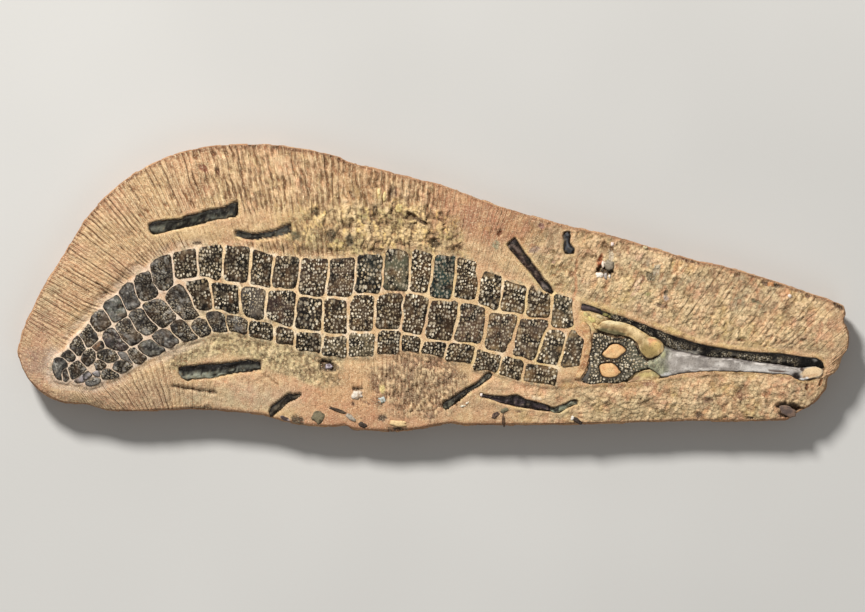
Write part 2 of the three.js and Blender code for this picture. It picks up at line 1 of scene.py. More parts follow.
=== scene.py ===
"""Fossil crocodile slab: stone, armour plates, skull and loose bones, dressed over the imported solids.

Shapes are worked out in millimetres on a plan sheet, x to the right and y down, that is laid over the
CAD slab: SHEET is the part's origin on that sheet. Meshes are turned into metres as they are made.
"""
from types import SimpleNamespace

import bmesh
import bpy
import numpy as np
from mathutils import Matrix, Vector


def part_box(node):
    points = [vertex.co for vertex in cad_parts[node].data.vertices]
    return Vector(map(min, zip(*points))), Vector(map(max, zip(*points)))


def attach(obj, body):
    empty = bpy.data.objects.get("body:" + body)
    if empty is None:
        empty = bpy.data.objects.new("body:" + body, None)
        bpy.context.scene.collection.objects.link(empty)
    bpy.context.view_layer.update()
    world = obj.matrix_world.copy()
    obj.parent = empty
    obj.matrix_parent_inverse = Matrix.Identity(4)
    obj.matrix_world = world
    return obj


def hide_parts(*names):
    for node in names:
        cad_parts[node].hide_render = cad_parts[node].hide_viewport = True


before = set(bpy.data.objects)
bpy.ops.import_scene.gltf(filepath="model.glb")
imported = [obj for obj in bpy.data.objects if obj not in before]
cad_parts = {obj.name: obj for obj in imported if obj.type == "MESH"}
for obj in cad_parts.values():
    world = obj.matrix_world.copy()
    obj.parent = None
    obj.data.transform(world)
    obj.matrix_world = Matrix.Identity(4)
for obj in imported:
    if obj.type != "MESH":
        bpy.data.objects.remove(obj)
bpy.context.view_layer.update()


def rows(text):
    """Rows of numbers: commas part the numbers of a row, spaces part the rows."""
    return np.array([row.split(",") for row in text.split()], float)


def lines(text):
    """Several such tables, parted by slashes."""
    return [rows(part) for part in text.split("/")]


# ---------------------------------------------------------------- lines on the plan sheet

SLAB_OUTLINE = rows("""
    16,352 18,343 21,330 24.5,322 32.5,307 35.5,298 39.5,291 46,280 53,269 59,259 65,250 70,241 76,231
    83.5,219.5 91.5,209.5 101.5,198.5 111,190 121,181 134,172 147,165 161,158 175.5,152.5 190.5,148.7
    205,145.7 220,143.6 258,143.2 281,144.3 309,148.2 337,155 348,160.8 365,165 401,174 440,183.2 497,204.2
    563,223.6 607,233.2 641,243 674,253 700,260.8 724,264.8 763,276 804,290 835,300.5 845,305 847,314
    844.5,319 849,328 851,336 849.5,348 843,357 840.5,367 836.5,372.5 829,377 827.5,389 819.5,399.5
    809.5,408.5 798,412.5 792.5,418.5 785,421.3 749,422.3 680,422 624,424 585,425 541,426.2 485,426.2
    463,426.3 455,424.5 438,426.3 421,430 393,433 354,430.8 344,426.5 334,428.3 306,427 281,422 261,416
    241,413.8 213,411 190,410 157,411.5 135,412.2 108,411.5 95,407.5 86,405 66,404.5 53,400.5 38,391.5
    26.5,379 20,366
""")
BED_OUTLINE = rows("""
    46,368 54,352 63,342 73,328 86,316 100,300 115,287 130,272 146,259 166,249 176,245 198,242 222,240
    250,242 272,249 300,253 330,252 352,252 380,249 388,243 407,245 432,249 455,250 477,256 490,266 505,273
    530,283 545,290 574,293 586,299 604,303 622,309 642,317 662,325 690,334 712,341 740,346 775,348 800,351
    817,353 826,359 828,367 824,376 816,383 800,384 790,379 765,376 740,375 712,376 690,379 665,381 655,387
    630,388 604,388 580,388 562,390 540,389 522,386 500,378 472,374 446,366 420,361 395,359 372,362 350,361
    320,362 296,356 275,350 250,342 228,338 206,342 188,347 166,358 150,363 136,371 120,380 106,385 90,392
    70,387 54,386 47,378
""")
# Lines that the chisel marks run along: outer point and inner point, clockwise from the tail's tip.
RIBS = rows("""
    16,352,46,368 21,330,52,356 32.5,307,73,328 46,280,95,306 65,250,119,283 101.5,198.5,153,255
    134,172,176,245 175.5,152.5,210,241 220,143.6,246,242 258,143.2,278,250 281,144.3,297,252
    337,155,343,252 401,174,398,244 440,183.2,436,249 497,204.2,482,260 563,223.6,532,284 607,233.2,570,293
    674,253,634,314 763,276,712,341 835,300.5,785,349 851,336,824,358 849.5,348,828,367 829,377,822,378
    819.5,399.5,804,384 785,421.3,778,377 749,422.3,735,375 680,422,668,381 624,424,615,388 585,425,575,388
    541,426.2,537,388 485,426.2,482,375 438,426.3,434,363 393,433,392,359 344,426.5,345,361 306,427,305,358
    261,416,272,349 213,411,228,338 182,411.5,176,352 158,411.5,138,370 132,412.2,108,384 110,411.5,91,391.5
    88,405.5,75,388 66,404.5,62,386.5 38,391.5,51,383 26.5,379,47.2,379
""")
TURN_POINT = 849.5, 348       # on the outline at the snout, between its upper and its lower half
BACK_LINE = rows("""
    54,370 100,343 150,314 200,303 260,304 330,314 400,315 450,321 500,334 560,347 640,361 700,362 760,364
    821,367.5
""")
TAIL_PLATES = lines("""
    53.5,359 57,357 62,357.5 66,361 67.5,365 63,369 61,374 61.5,380.5 56.5,379 53.5,374 52,367 /
    60,356 63,352 68,349.5 72,351 76,357 72,360 68,361.5 /
    71,348.5 70,344 73,339 78,335 81,338 85.5,349 80,355 77,355.5 /
    79.5,334.5 84,329 88.5,324 91,329 93.5,334 97.5,339 91,346 87,347 83,341 /
    91.5,321 92,315.5 96,311 101,309.5 104,314 109.5,324 104,329 98,330 94,326 /
    103.5,306.5 104,302 110,299 116,296 119.5,300 126,315 121,320 114,321.5 109,314 /
    120,292 122,286 127,282 132.5,283 135,292 139,304 134,308.5 128,309 124,302 /
    133.5,281 136,275 142,272 149,271 151.5,280 158.5,292 151,299 144,300 138,297 136,289 /
    150.5,264 155,259 162,255.5 169,255 170.5,264 173,284 167,289 160,289 153,282.5 /
    62.8,371 66.5,368.5 69.5,378 66.5,381.5 63,380.5 /
    68.8,368.5 73,365 78,362 83,365.5 86,369 80,375 73,379.5 71,378 /
    82,359 84,353 91,349 95,353 95.5,357 92.5,363 88,365 84,362 /
    97,352 103,349.5 110,350 114,352 119,357 113,361 104,360 97.5,357.5 /
    103.5,338 105,333 108,330 113,329 118,335 121,341 128,347 122,350.5 114,349 107,345 /
    116,326 119,321.5 128,319 132,326 136,332 143,339 138,344 131,344.5 123,338 /
    130,316 132,312 136,310.5 141.5,310 146,318 157,328 152,332 145,333.5 137,330 /
    143.5,306 147,302.5 152,300.5 158,299.5 166,307 176,318 170,322 162,326 153,320 148,313 /
    168,297 170,291.5 174,288 180,286 185,294 192,307 199.5,315 193,319 184,317 174,308 /
    84.5,382 93,377 101,380.5 99,384 90,386.5 85.5,385.5 /
    100.8,374.5 104,371 109,369.3 117,373 119,376.5 111,379.5 103,378.5 /
    112.5,368 115,362.5 121,360 128,362 133.5,366 128,370.5 121,372.5 115,370.5 /
    128.5,351.5 130,350 134,349 141,353.5 147,358 142,363.5 135,363 131,358 /
    137.5,346 140,342.5 144,340 152,341.5 158,345.5 166,350 160,354.5 151,356.5 143,352.5 /
    152,336 155,332.5 161,330.5 166,331.5 172,337 179.5,342.5 174,345.5 166,346 158,342.5 /
    172,326 175,321.5 181,322 184,324 190,332 198.5,338 192,340.5 186,340.5 178,334.5 /
    192.5,323 195,319.5 199.5,317 205,322 211,329.5 208,335.5 202,337 196,332.5 /
    208.5,314 212,312.5 218,312 221.5,314.5 223,322 226.5,332 220,332.5 213,331.5 /
    229,317 246,321 245,334 230,331 /
    94,364.5 96,362 99.5,361 105,365 101,369.8 95.5,369 /
    74,380.8 81,376 88,370.5 92.5,374.5 88,378 82,382.5 76,383 /
    118,352.5 124,352 127,354 130.5,360 133,363.5 127,361 121,358 /
    95,371 99.5,371 99.3,376 94,375.5 91,373 /
    91.5,347.5 98,343 102,342 104,347 97,350.5
""")
OPENINGS = lines("""
    601.5,354.5 603,351.5 606.5,348.5 609,345 612.5,343.6 618,343.5 622,345.5 625.5,348.3 627,350.6
    625,352.5 621,355.5 617.5,358.7 611,359 605,357.7 /
    598.6,366 601,363.5 606,362.5 611,362.3 614.5,364 617.5,367 619.8,371 622,372 619.5,374.5 616,377
    611,378 606,377.5 602,376.3 600,372
""")
ROOF_OUTLINE = rows("""
    593,333 600,333.2 606,335.6 612,337.4 620,338.2 628,338.8 633,341 636.5,346 639,352 643,357.5 648,361
    653,363.5 655,366 651,368 646,369.3 640,370.3 635,372.8 630,377.5 626,381 618,383 608,382.8 598,383.2
    590,384 584,382.5 580,380.2 584,376.5 587.5,370 589.5,362 590,353 592.3,348 592.5,340
""")
# Bones that lie as strips: the side towards the back of the slab, then the side towards its front.
STRIPS = {
    "long_bone_upper_left": lines("""
        148.3,224.2 152,222.8 158,221.3 165,220.3 176,219.5 181,219 184,217 190,215 200,213.2 205,210.5
        210,209.5 220,208.5 226,206.5 231,203.8 235,202.2 238,200.8 /
        149,231.5 152.5,234.3 156,234.3 160,233.2 166,231.5 173,230 180,228.6 186,227.2 192,226.2 200,224.6
        206,222.6 210,220.8 218,219.4 226,218 234,217 238.3,214.8"""),
    "rib_upper_left": lines("""
        234.8,230.5 240,231 245,232 250,233.4 256,233.6 262,232.6 268,231.2 275,230 280,227.8 284,225.4
        288,224.2 291,223.3 /
        235.2,236 240,237.2 246,238.8 252,239.6 258,239.8 264,239 270,238.5 275,237.6 280,236 285,234.8
        289,233.6 291.8,232.5"""),
    "long_bone_lower_left": lines("""
        177.5,367.8 180,367 190,366.4 200,364.8 210,364.2 220,363.8 230,363 240,361.2 250,360 258,361
        261.3,361.8 /
        178.5,373.5 182,378.5 187,380.8 192,379 200,378.8 210,378.4 216,377 222,375.4 230,374 240,372.2
        250,371.8 258,370.2 261.3,369.5"""),
    "splinter_lower_left": lines("""
        269,412 271,407 275,403.8 280,400.5 284,396.8 287,394.8 290,393.4 293,394.6 297,394 301,393.4 /
        270.8,417 275,413.5 280,410 284,406 288,402.8 292,401 296,398.8 299,397 301.6,395.5"""),
    "long_bone_upper_right": lines("""
        515,237.5 518.5,243 521.5,247.5 526,254.5 530.5,259.5 532.5,263.5 536,267.8 540,272.5 544,279
        549,284 552,289 554,293 /
        506.8,244.5 510,250 515,255.5 519,260 523.5,265.5 528,270.5 532,275.5 536,280 539,284 543,289
        547,292 550,294"""),
    "short_bone_upper_right": lines("""
        570,231.8 571,234.5 569.8,239 570,243 572,246 574.6,249 573.8,254 /
        564.3,232.3 563,236 564.3,239.5 564.3,243 563.8,246 563.6,249.5 565.2,254"""),
    "rod_bone_lower": lines("""
        441.3,406 446,401.5 452,398 458,394.8 464,389.5 470,386.5 476,383.2 482,378 487,373.5 490,372.3 /
        445.5,410 450,407 455,402.8 461,398.6 467,394 472,391 478,387.6 484,382.6 489,379 492.5,375.2"""),
    "long_bone_lower": lines("""
        480.5,393.5 485,395 492,396.2 500,396.6 507,396.8 512,395.8 517,395.2 521,397 526,400.2 531,401.3
        538,403 545,405 550.5,407 /
        480,396.5 485,397.6 492,399.6 499,402.3 506,404.2 514,406 522,407.5 529,408.6 537,409.8 545,411
        550.5,411.3"""),
    "thin_bone_lower": lines("""
        549,407.8 555,408.2 560,406.3 566,404 571,401 575,400 577.8,401 /
        550,411 555,412.6 559,412.8 563,410.5 568,407.5 573,405.2 577.8,404.5"""),
    "jaw": lines("""
        581,302.7 590,305.2 600,309 608,312.3 614,314 620,315.2 630,319 640,322.2 650,326.5 660,330 670,334
        680,337.2 690,340.2 700,343.5 710,345.5 720,347.3 730,349 740,350.2 750,351.3 760,352 770,352.3
        780,352.7 788,353.9 800,356 810,357 817,357.6 821.5,360 824,363 /
        581,310.8 590,311.3 600,314.5 608,317.5 614,320.3 622,322.5 632,325.5 638,328.8 644,332.5 650,335.5
        658,340 666,345.5 674,350 684,352 694,353.8 704,356 712,357.3 722,357.6 732,357.4 740,358.8
        750,360.6 760,362.3 770,363 780,364.3 790,366.3 800,367.8 812,367.4 824.6,368"""),
    "snout": lines("""
        647,360.5 652,359.6 657,357.4 661,353.6 664,349 665,345.5 670,348 678,350.6 690,352.8 700,355
        706,356.4 716,357.4 730,357.6 740,359.2 750,361 760,362.6 770,363.4 780,364.6 790,366.6 800,368
        808,367 816,366.6 822,368.6 823.8,371 /
        649,368.5 654,370.5 658,374 662,377.3 668,376.6 672,375.4 680,373.9 690,372.8 700,371.8 710,371
        720,371.2 735,371.8 750,372.3 762,373.2 772,373.8 785,374.3 791,375.8 795,379 800,380.3 806,380.5
        812,379.8 818,378 822,375.5 823.8,373"""),
    "cheek_bone": lines("""
        597,324.5 602,321.8 608,320.3 615,321.2 622,322.4 628,323.8 634,326 638,328.6 642,331.4 648,334.8
        654,337.8 659.5,340.2 663.3,343.5 664.2,347.5 /
        597.5,330.5 603,332 612,334.4 619,335.7 624,336.4 629,337.4 633,339.3 636.5,342.5 638.5,346.5
        640,351 643,355.5 647,358.6 652,358.8 657,357 661.5,353"""),
    "lower_cheek_bone": lines("""
        627,381 631,376.8 636,372.8 642,370.8 650,369.4 655,371 659,374.5 /
        628,383 636,382.2 645,380.8 652,380.6 656,379.5 660.5,377.3"""),
}
HEAD = ["jaw", "snout", "cheek_bone", "lower_cheek_bone"]
LOOSE_BONES = [name for name in STRIPS if name not in HEAD]
# The ridge of stone between the last plates and the skull.
NECK_BAND = lines("""
    577,322 581,330 583.6,338 584.2,350 582.3,360 578,368 573,380 /
    586,320.5 590.5,327 592,335 592,348 589.5,357 588,366 580.5,380
""")

# ---------------------------------------------------------------- sizes in millimetres

MM = 0.001
SHEET_SIZE = 865, 612         # what the camera sees of the plan sheet
slab_low, slab_high = (np.array(corner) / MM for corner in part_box("stone_slab"))
SHEET = np.array([SLAB_OUTLINE[:, 0].min() - slab_low[0], SLAB_OUTLINE[:, 1].min() + slab_high[1]])

CLEARANCE = 0.05              # between a highest point and the CAD's own
SLAB_TOP = slab_high[2] - CLEARANCE
TOP_Z = max(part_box(name)[1][2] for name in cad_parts) / MM - CLEARANCE
FACE_Z = slab_high[2] - 1.2   # worked face beside the fossil
EDGE_FALL = 3.5               # how far it falls towards the rim
RIM = 2.5                     # strip of the rim that the broken sides take up
BED_Z = 30.0                  # floor of the bed under the armour and the skull
BONE_Z = BED_Z + 0.4          # underside of the plates and the head's bones
UNDER_HEAD_Z = 31.4           # stone under the bones of the head, which hide it
BY_HEAD_Z = 33.9              # stone beside them
FILL_Z = 34.2                 # edge of the stone that fills the skull's openings
NECK_Z = 36.2                 # crest of the neck's ridge
LOOSE_Z = 29.0                # underside of the loose bones
PLATE_Z = 33.7                # edge of a plate at the side of the animal
ARCH_RISE = 2.8
ARCH_HALF_WIDTH = 75.0
FRAGMENT_DEPTH = 3.0          # how far a small fragment is sunk
COLUMNS = 1420                # of the face's grid, round the slab
UPPER_ROWS, LOWER_ROWS = 54, 36
FINE_ROWS, UPPER_STEPS, LOWER_STEPS = 7, 19, 17
# The broken sides, from the face down: how far in they lie, and the height.
WALL_STEPS = [(1.2, 29.5), (0.3, 27), (0.0, 24), (0.2, 20), (1.0, 15), (2.4, 10), (4.0, 5), (5.2, 1.2),
              (5.9, 0.0)]
# Rings of a plate or fragment, from its outline in: the first is its underside, the second its edge.
RING_SIZES = [1, 1, 0.985, 0.95, 0.88, 0.78, 0.66, 0.54, 0.42, 0.3, 0.18, 0.08]
ROOF_RINGS = [1, 1, 0.985, 0.96, *np.linspace(0.93, 0.04, 26)]
SLICE = 1.1                   # between the cross-sections of a bone
rng = np.random.default_rng(11)

# ---------------------------------------------------------------- zones of the stone

# How the stone changes from left to right: x and value, above the animal and then below it.
PITCH = (                     # spacing of the chisel marks
    {16: 3.4, 60: 3.9, 120: 5.2, 200: 6.2, 300: 6.4, 340: 8.0, 420: 6.5, 450: 4.2, 560: 4.5, 700: 5.5},
    {60: 4.0, 150: 4.0, 185: 3.8, 260: 4.0, 300: 4.8, 370: 4.0, 470: 4.2, 560: 6, 850: 6})
CHISELLED = (
    {16: 0.95, 60: 1.1, 300: 1.0, 400: 0.95, 440: 0.5, 560: 0.2, 650: 0.15, 700: 0.4, 790: 0.35, 830: 0.3,
     850: 0.4},
    {60: 0.35, 100: 0.8, 160: 0.75, 230: 0.2, 250: 0.16, 300: 0.16, 350: 0.22, 370: 0.5, 460: 0.5, 500: 0.2,
     560: 0.12, 790: 0.12, 830: 0.4})
LUMPY = (
    {300: 0.08, 330: 0.35, 430: 0.5, 470: 0.15, 520: 0.4, 600: 1, 800: 1, 840: 0.4},
    {160: 0.1, 190: 0.35, 280: 0.25, 340: 0.12, 480: 0.2, 540: 0.7, 620: 1, 790: 0.9, 830: 0.4})
SMOOTH_BY_BED = ({40: 0.7, 70: 0, 290: 0, 320: 0.3, 560: 0.4, 600: 0.7}, {0: 0.5})
SMOOTH_BY_RIM = ({0: 0}, {180: 0, 300: 0.7, 560: 0.5, 620: 0})
STROKE_LENGTH = ({40: 40, 100: 24, 150: 18, 230: 15, 340: 17}, {165: 16, 185: 9})
BROKEN = ({40: 0.6, 120: 1.0}, {0: 1.0})              # how far the marks are broken into dashes
BANDED = ({60: 0.3, 320: 0.3, 345: 0.9, 425: 0.9, 450: 0.3}, {0: 0.3})
# Painted shadow along the face's rim: x and strength, above the animal and then below it.
RIM_SHADOW = ({60: 0.3, 90: 1, 330: 1, 360: 0.5, 640: 0.5, 660: 0.9, 850: 0.9}, {0: 0.5})
# Patches with a surface of their own: x, y, half-sizes, turn in degrees.
CRUMBLY_PATCH = (374, 232, 94, 31, 4)
CHOPPED_PATCH = (418, 386, 44, 31, 6)
SMOOTH_PATCH = (250, 228, 72, 15, -6)
TAIL_PATCH = (34, 366, 30, 36, 0)
TILT = 0.42, 0.907            # cosine and sine of the lean of the lumps

# ---------------------------------------------------------------- colours and marks of the stone

PEACH, YELLOW, OLIVE, PINK = (203, 163, 124), (212, 184, 134), (160, 148, 116), (204, 152, 120)
# CREAM and BROWN are painted highlight on the stone's high places and painted shade in its low ones.
CREAM, BROWN, BAND_PINK, SEAM_CREAM = (240, 212, 170), (98, 68, 46), (216, 138, 96), (234, 206, 162)
# Near-black: a tone of the bones, and also painted shade on their shaded sides and rims.
BLACK_AND_SHADE = (20, 17, 15)

# Broad patches of colour: x, y, half-sizes, turn in degrees, colour, strength.
PATCHES = [
    (34, 366, 18, 24, 10, (160, 134, 120), 0.5), (130, 400, 66, 12, 4, (160, 136, 112), 0.35),
    (30, 350, 30, 60, 20, (190, 144, 116), 0.5), (70, 240, 16, 120, 40, PINK, 0.5),
    (150, 180, 70, 16, -24, PINK, 0.3), (120, 300, 40, 14, -42, PINK, 0.3),
    (180, 205, 70, 30, -20, YELLOW, 0.45), (285, 185, 70, 34, 5, YELLOW, 0.5),
    (255, 160, 60, 14, 2, PINK, 0.3), (48, 300, 10, 20, 35, OLIVE, 0.6),
    (330, 230, 55, 22, 4, (200, 176, 118), 0.6), (318, 240, 14, 12, 0, OLIVE, 0.6),
    (365, 235, 22, 18, 0, OLIVE, 0.5), (410, 225, 26, 20, 10, (208, 184, 120), 0.7),
    (360, 180, 44, 18, 12, (196, 148, 110), 0.65), (430, 205, 60, 14, 16, (188, 142, 114), 0.6),
    (495, 225, 60, 22, 18, (186, 140, 114), 0.8), (265, 243, 30, 6, 5, (216, 160, 124), 0.6),
    (205, 236, 60, 10, -6, YELLOW, 0.5), (600, 250, 60, 18, 16, PEACH, 0.5),
    (520, 258, 26, 20, 30, YELLOW, 0.5), (555, 262, 18, 24, 0, OLIVE, 0.35),
    (620, 285, 60, 16, 20, YELLOW, 0.5), (700, 315, 80, 18, 18, (216, 190, 140), 0.7),
    (790, 338, 50, 14, 6, (214, 186, 138), 0.6), (650, 268, 26, 12, 18, OLIVE, 0.4),
    (745, 305, 26, 16, 20, (178, 168, 136), 0.4), (835, 345, 20, 40, 0, (208, 164, 128), 0.6),
    (700, 405, 110, 14, 0, (206, 166, 126), 0.6), (590, 410, 50, 12, 0, (190, 176, 140), 0.6),
    (640, 412, 40, 14, 0, OLIVE, 0.3), (200, 352, 34, 9, -14, OLIVE, 0.75),
    (262, 358, 32, 12, 12, (170, 160, 124), 0.75), (230, 400, 70, 9, 2, (200, 172, 134), 0.6),
    (320, 395, 50, 30, 0, (210, 162, 126), 0.5), (315, 368, 16, 12, 0, PINK, 0.4),
    (415, 378, 56, 18, 8, (174, 146, 116), 0.7), (430, 412, 60, 10, 0, PINK, 0.4),
    (350, 424, 110, 8, 2, (182, 132, 102), 0.6), (560, 424, 120, 5, 0, (178, 134, 102), 0.6),
    (520, 392, 40, 8, 4, (214, 176, 138), 0.5), (110, 398, 60, 12, 0, (184, 150, 122), 0.8),
    (150, 385, 36, 26, -10, (184, 152, 124), 0.8), (36, 356, 26, 34, 20, (184, 148, 122), 0.75),
    (49, 364, 9, 20, 20, (206, 184, 164), 0.8), (75, 395, 22, 7, 0, (196, 164, 136), 0.5),
    (585, 340, 12, 34, 0, (206, 156, 114), 0.8), (592, 318, 12, 10, 20, (206, 184, 126), 0.8),
    (610, 313, 10, 4, 18, (176, 170, 120), 0.6), (592, 327, 8, 3.4, 40, (222, 202, 146), 0.85),
    # The dark browns from x 570 to 640 along y 384 to 388 are painted shadow below the head's lower edge.
    (570, 387, 14, 2.2, -2, (104, 66, 46), 0.8), (604, 385.2, 10, 1.6, 2, (92, 66, 48), 0.7),
    (621, 386.5, 7, 3, -20, (112, 70, 48), 0.75), (633, 388, 4.5, 2, 30, (104, 66, 46), 0.7),
    (640, 384, 16, 2.6, -3, (134, 96, 78), 0.7), (529, 386, 7, 2, 0, (168, 118, 82), 0.7),
    (690, 372.5, 30, 2.2, -4, (206, 160, 124), 0.5), (720, 345, 60, 5, 12, (216, 182, 134), 0.5),
    (672, 330, 26, 3, 20, (196, 178, 110), 0.5), (33, 366, 13, 20, 0, (160, 130, 112), 0.7),
    (368, 185, 46, 20, 12, (166, 134, 96), 0.6), (545, 245, 22, 14, 20, (172, 158, 128), 0.6),
    (555, 275, 20, 16, 0, (200, 180, 122), 0.6), (600, 300, 30, 9, 15, (204, 184, 128), 0.5),
    (655, 262, 26, 9, 18, (162, 154, 132), 0.65), (692, 278, 26, 8, 18, (190, 174, 134), 0.5),
    (748, 300, 30, 12, 18, (178, 168, 140), 0.5), (720, 330, 44, 10, 14, (212, 190, 138), 0.5),
    (812, 318, 20, 9, 15, (202, 148, 116), 0.55), (772, 288, 22, 7, 16, (198, 146, 112), 0.55),
    (640, 250, 26, 5, 16, (198, 148, 120), 0.5), (672, 300, 12, 8, 30, (206, 148, 112), 0.5),
    (720, 395, 26, 8, -20, (204, 148, 116), 0.5), (790, 395, 22, 9, 0, (202, 150, 120), 0.5),
    (612, 405, 22, 8, 0, (196, 178, 128), 0.5),
]
# Darker areas: x, y, half-sizes, turn in degrees, factor of each colour, strength.
WASHES = [
    (482, 216, 60, 22, 20, (0.9, 0.83, 0.8), 1.0), (560, 238, 45, 12, 16, (0.93, 0.9, 0.9), 0.9),
    (30, 335, 22, 26, 0, (0.89, 0.87, 0.88), 0.9), (355, 180, 44, 18, 12, (0.95, 0.92, 0.9), 0.9),
    (345, 396, 38, 26, 0, (0.99, 0.93, 0.91), 0.9), (240, 398, 60, 14, 0, (0.94, 0.98, 1.03), 0.8),
]
# Small dents and stains: x, y, half-sizes, turn in degrees, colour, rise.
MARKS = [
    (197, 409, 15, 2.4, -3, (60, 52, 44), -1.8), (298, 420, 5.5, 4, 30, (66, 58, 48), -1.0),
    (357, 389, 5, 2.4, 0, (54, 40, 34), -2.4), (353, 404, 2.6, 2.2, 0, (80, 56, 44), -1.2),
    (365, 402, 5, 1, 25, (120, 82, 62), -0.6), (382, 389, 3.4, 5, 0, (226, 206, 138), 0.5),
    (382.5, 419, 4, 3.4, 0, (70, 58, 50), -1.0), (400, 430, 11, 2.8, 4, (36, 30, 28), -1.8),
    (328.5, 366, 8.5, 5.6, 15, (30, 24, 22), -3.4), (519, 412, 2.6, 1.2, 0, (104, 74, 56), -0.5),
    (537, 398, 5, 2, 10, (228, 204, 170), 0.3), (588, 268, 9, 13, 4, (214, 184, 142), -1.8),
    (600, 262, 3, 7, 12, (160, 86, 54), -2.2), (606, 270.5, 9, 6, 10, (30, 24, 22), -4.0),
    (611, 255, 2.6, 5, 0, (196, 182, 160), 0.3), (605, 246, 3, 3.4, 20, (112, 84, 58), -1.4),
    (612, 249, 2, 2, 0, (70, 48, 40), -1.2), (689, 259, 13, 3, 16, (80, 50, 38), -1.8),
    (738, 275, 3.2, 2.2, 0, (92, 66, 52), -1.0), (766, 283.5, 4.5, 2.6, 15, (66, 44, 36), -1.4),
    (777.5, 286, 3.8, 2.2, 15, (46, 34, 30), -1.4), (802, 291, 3.6, 1.8, 15, (80, 56, 46), -1.0),
    (807, 296, 3.2, 1.8, 15, (84, 60, 50), -1.0), (757, 302, 6, 1.6, 20, (104, 106, 84), -0.8),
    (804, 340, 3.2, 1.4, 0, (74, 62, 46), -0.9), (742, 340, 5, 1.2, 0, (84, 58, 36), -1.2),
    (842, 306, 7, 3.6, 15, (50, 36, 32), -3.4), (789, 411, 11, 7.5, 15, (84, 74, 68), -4.4),
    (800, 409, 9, 1.8, 8, (66, 48, 40), -2.8), (807, 387, 1.6, 3.6, 5, (96, 56, 36), -1.4),
    (821, 382, 1.6, 3.6, 20, (130, 84, 54), -1.2), (765, 395, 4.5, 2, -20, (164, 112, 82), -0.7),
    (699.5, 415.5, 3.8, 3.2, 0, (102, 82, 70), -1.2), (708, 400.5, 4.6, 3, 0, (122, 96, 78), -1.0),
    (740, 395.5, 3.4, 5.2, 0, (128, 92, 70), -1.0), (750, 418, 3.2, 1.7, 0, (46, 34, 28), -1.2),
    (315.5, 211.5, 4.2, 4.4, 0, (62, 54, 40), -2.0), (375, 210, 2.8, 5, 0, (50, 40, 28), -2.4),
    (434, 243, 6, 4.5, 30, (62, 54, 40), -1.8), (391, 194, 1.8, 8, 4, (66, 52, 44), -2.2),
    (396, 192, 1.4, 6, 0, (70, 54, 50), -1.8), (500, 232, 2, 4, 18, (86, 40, 22), -1.8),
    (496, 244, 3.4, 5, 0, (150, 146, 118), 0.2), (542, 226, 3, 3, 0, (140, 100, 96), -0.5),
    (535, 250, 5, 3, -20, (150, 126, 112), -0.6), (553, 252, 3, 3, 0, (132, 108, 76), -1.0),
    (554, 262, 2.4, 2, 0, (150, 120, 104), -0.6), (553, 267, 2.2, 1.6, 20, (110, 84, 50), -0.9),
    (554, 275, 3, 1.4, 0, (120, 88, 50), -0.9), (560, 285, 5, 1.6, 0, (132, 104, 72), -0.8),
    (572, 274, 2.4, 3, 30, (124, 84, 60), -1.2), (522, 240, 3, 2, 10, (140, 100, 66), -0.8),
    (533, 292, 3, 5, 0, (36, 26, 26), -1.6), (196.5, 243, 5, 1.6, -4, (66, 56, 48), -0.8),
    (296, 236, 4.4, 4.2, 0, (100, 96, 74), -1.4), (332, 236, 4.4, 5.2, 0, (80, 74, 60), -1.8),
    (350, 240, 4, 6, 10, (88, 82, 66), -1.6), (253, 146, 4.4, 2.4, 0, (72, 48, 38), -1.6),
    (275, 147, 3.6, 2.4, 0, (84, 58, 44), -1.4), (101, 287, 6, 1.8, 50, (96, 64, 42), -1.4),
    (106, 293, 2.4, 1.6, 40, (82, 56, 40), -1.2), (66, 249, 2.6, 3.4, 30, (62, 44, 34), -1.8),
    (88, 292, 3, 2, 30, (128, 84, 56), -0.8), (651.5, 276.5, 5.4, 4.6, 0, (100, 94, 76), -1.0),
    (666, 293, 2.2, 3, 20, (80, 76, 64), -1.4), (666, 298, 3, 3, 0, (166, 154, 148), 0.4),
    (660, 305.5, 6, 2.4, 10, (142, 118, 98), -0.8), (666, 306, 1.8, 2.4, 0, (110, 78, 56), -1.0),
    (647, 294, 3.4, 1.6, -20, (132, 128, 82), -0.5), (643, 279, 2.4, 5, 10, (132, 98, 76), -1.0),
    (634, 285, 1.4, 7, 35, (136, 100, 74), -1.0), (639, 288, 1.4, 6, 30, (136, 104, 72), -0.9),
    (636, 290, 1.6, 8, 38, (228, 190, 158), 0.8), (638, 282, 1.4, 7, 38, (222, 192, 160), 0.8),
    (642, 288, 1.4, 6, 30, (228, 196, 150), 0.6), (640, 257, 2, 6, 40, (226, 186, 154), 0.7),
    (657, 269, 3, 6, 30, (196, 184, 160), 0.5), (166, 205, 3, 2, 30, (130, 86, 54), -1.2),
    (147, 212, 3.2, 2, 45, (136, 92, 60), -1.2), (141, 215, 3, 2, 20, (150, 108, 76), -1.0),
    (193, 205, 2, 4, -30, (120, 80, 50), -1.4), (186, 197, 2, 3, -25, (126, 88, 58), -1.2),
    (172, 197, 1.8, 3, -25, (128, 92, 58), -1.0), (217, 171, 2.6, 4, -15, (92, 58, 46), -1.4),
    (203, 168, 5, 3, 20, (128, 78, 62), -1.2), (214, 154, 3, 4, -20, (110, 72, 52), -1.4),
    (196, 157, 4, 2.4, 10, (118, 78, 54), -1.2), (206, 188, 3, 3.4, 0, (170, 122, 92), -0.8),
]
# Cracks and long holes: points, half-width, colour, depth.
CRACKS = [
    ([(173, 386), (184, 388), (198, 390), (216, 392)], 1.1, (50, 38, 28), 2.4),
    ([(263, 374), (269, 378), (278, 383.5)], 0.7, (128, 96, 66), 1.2),
    ([(408, 213), (413, 216), (418, 219.5), (426, 224)], 1.6, (60, 42, 30), 2.8),
    ([(577, 260), (575, 274), (576.5, 288), (573, 301)], 1.2, (190, 140, 104), 0.6),
]
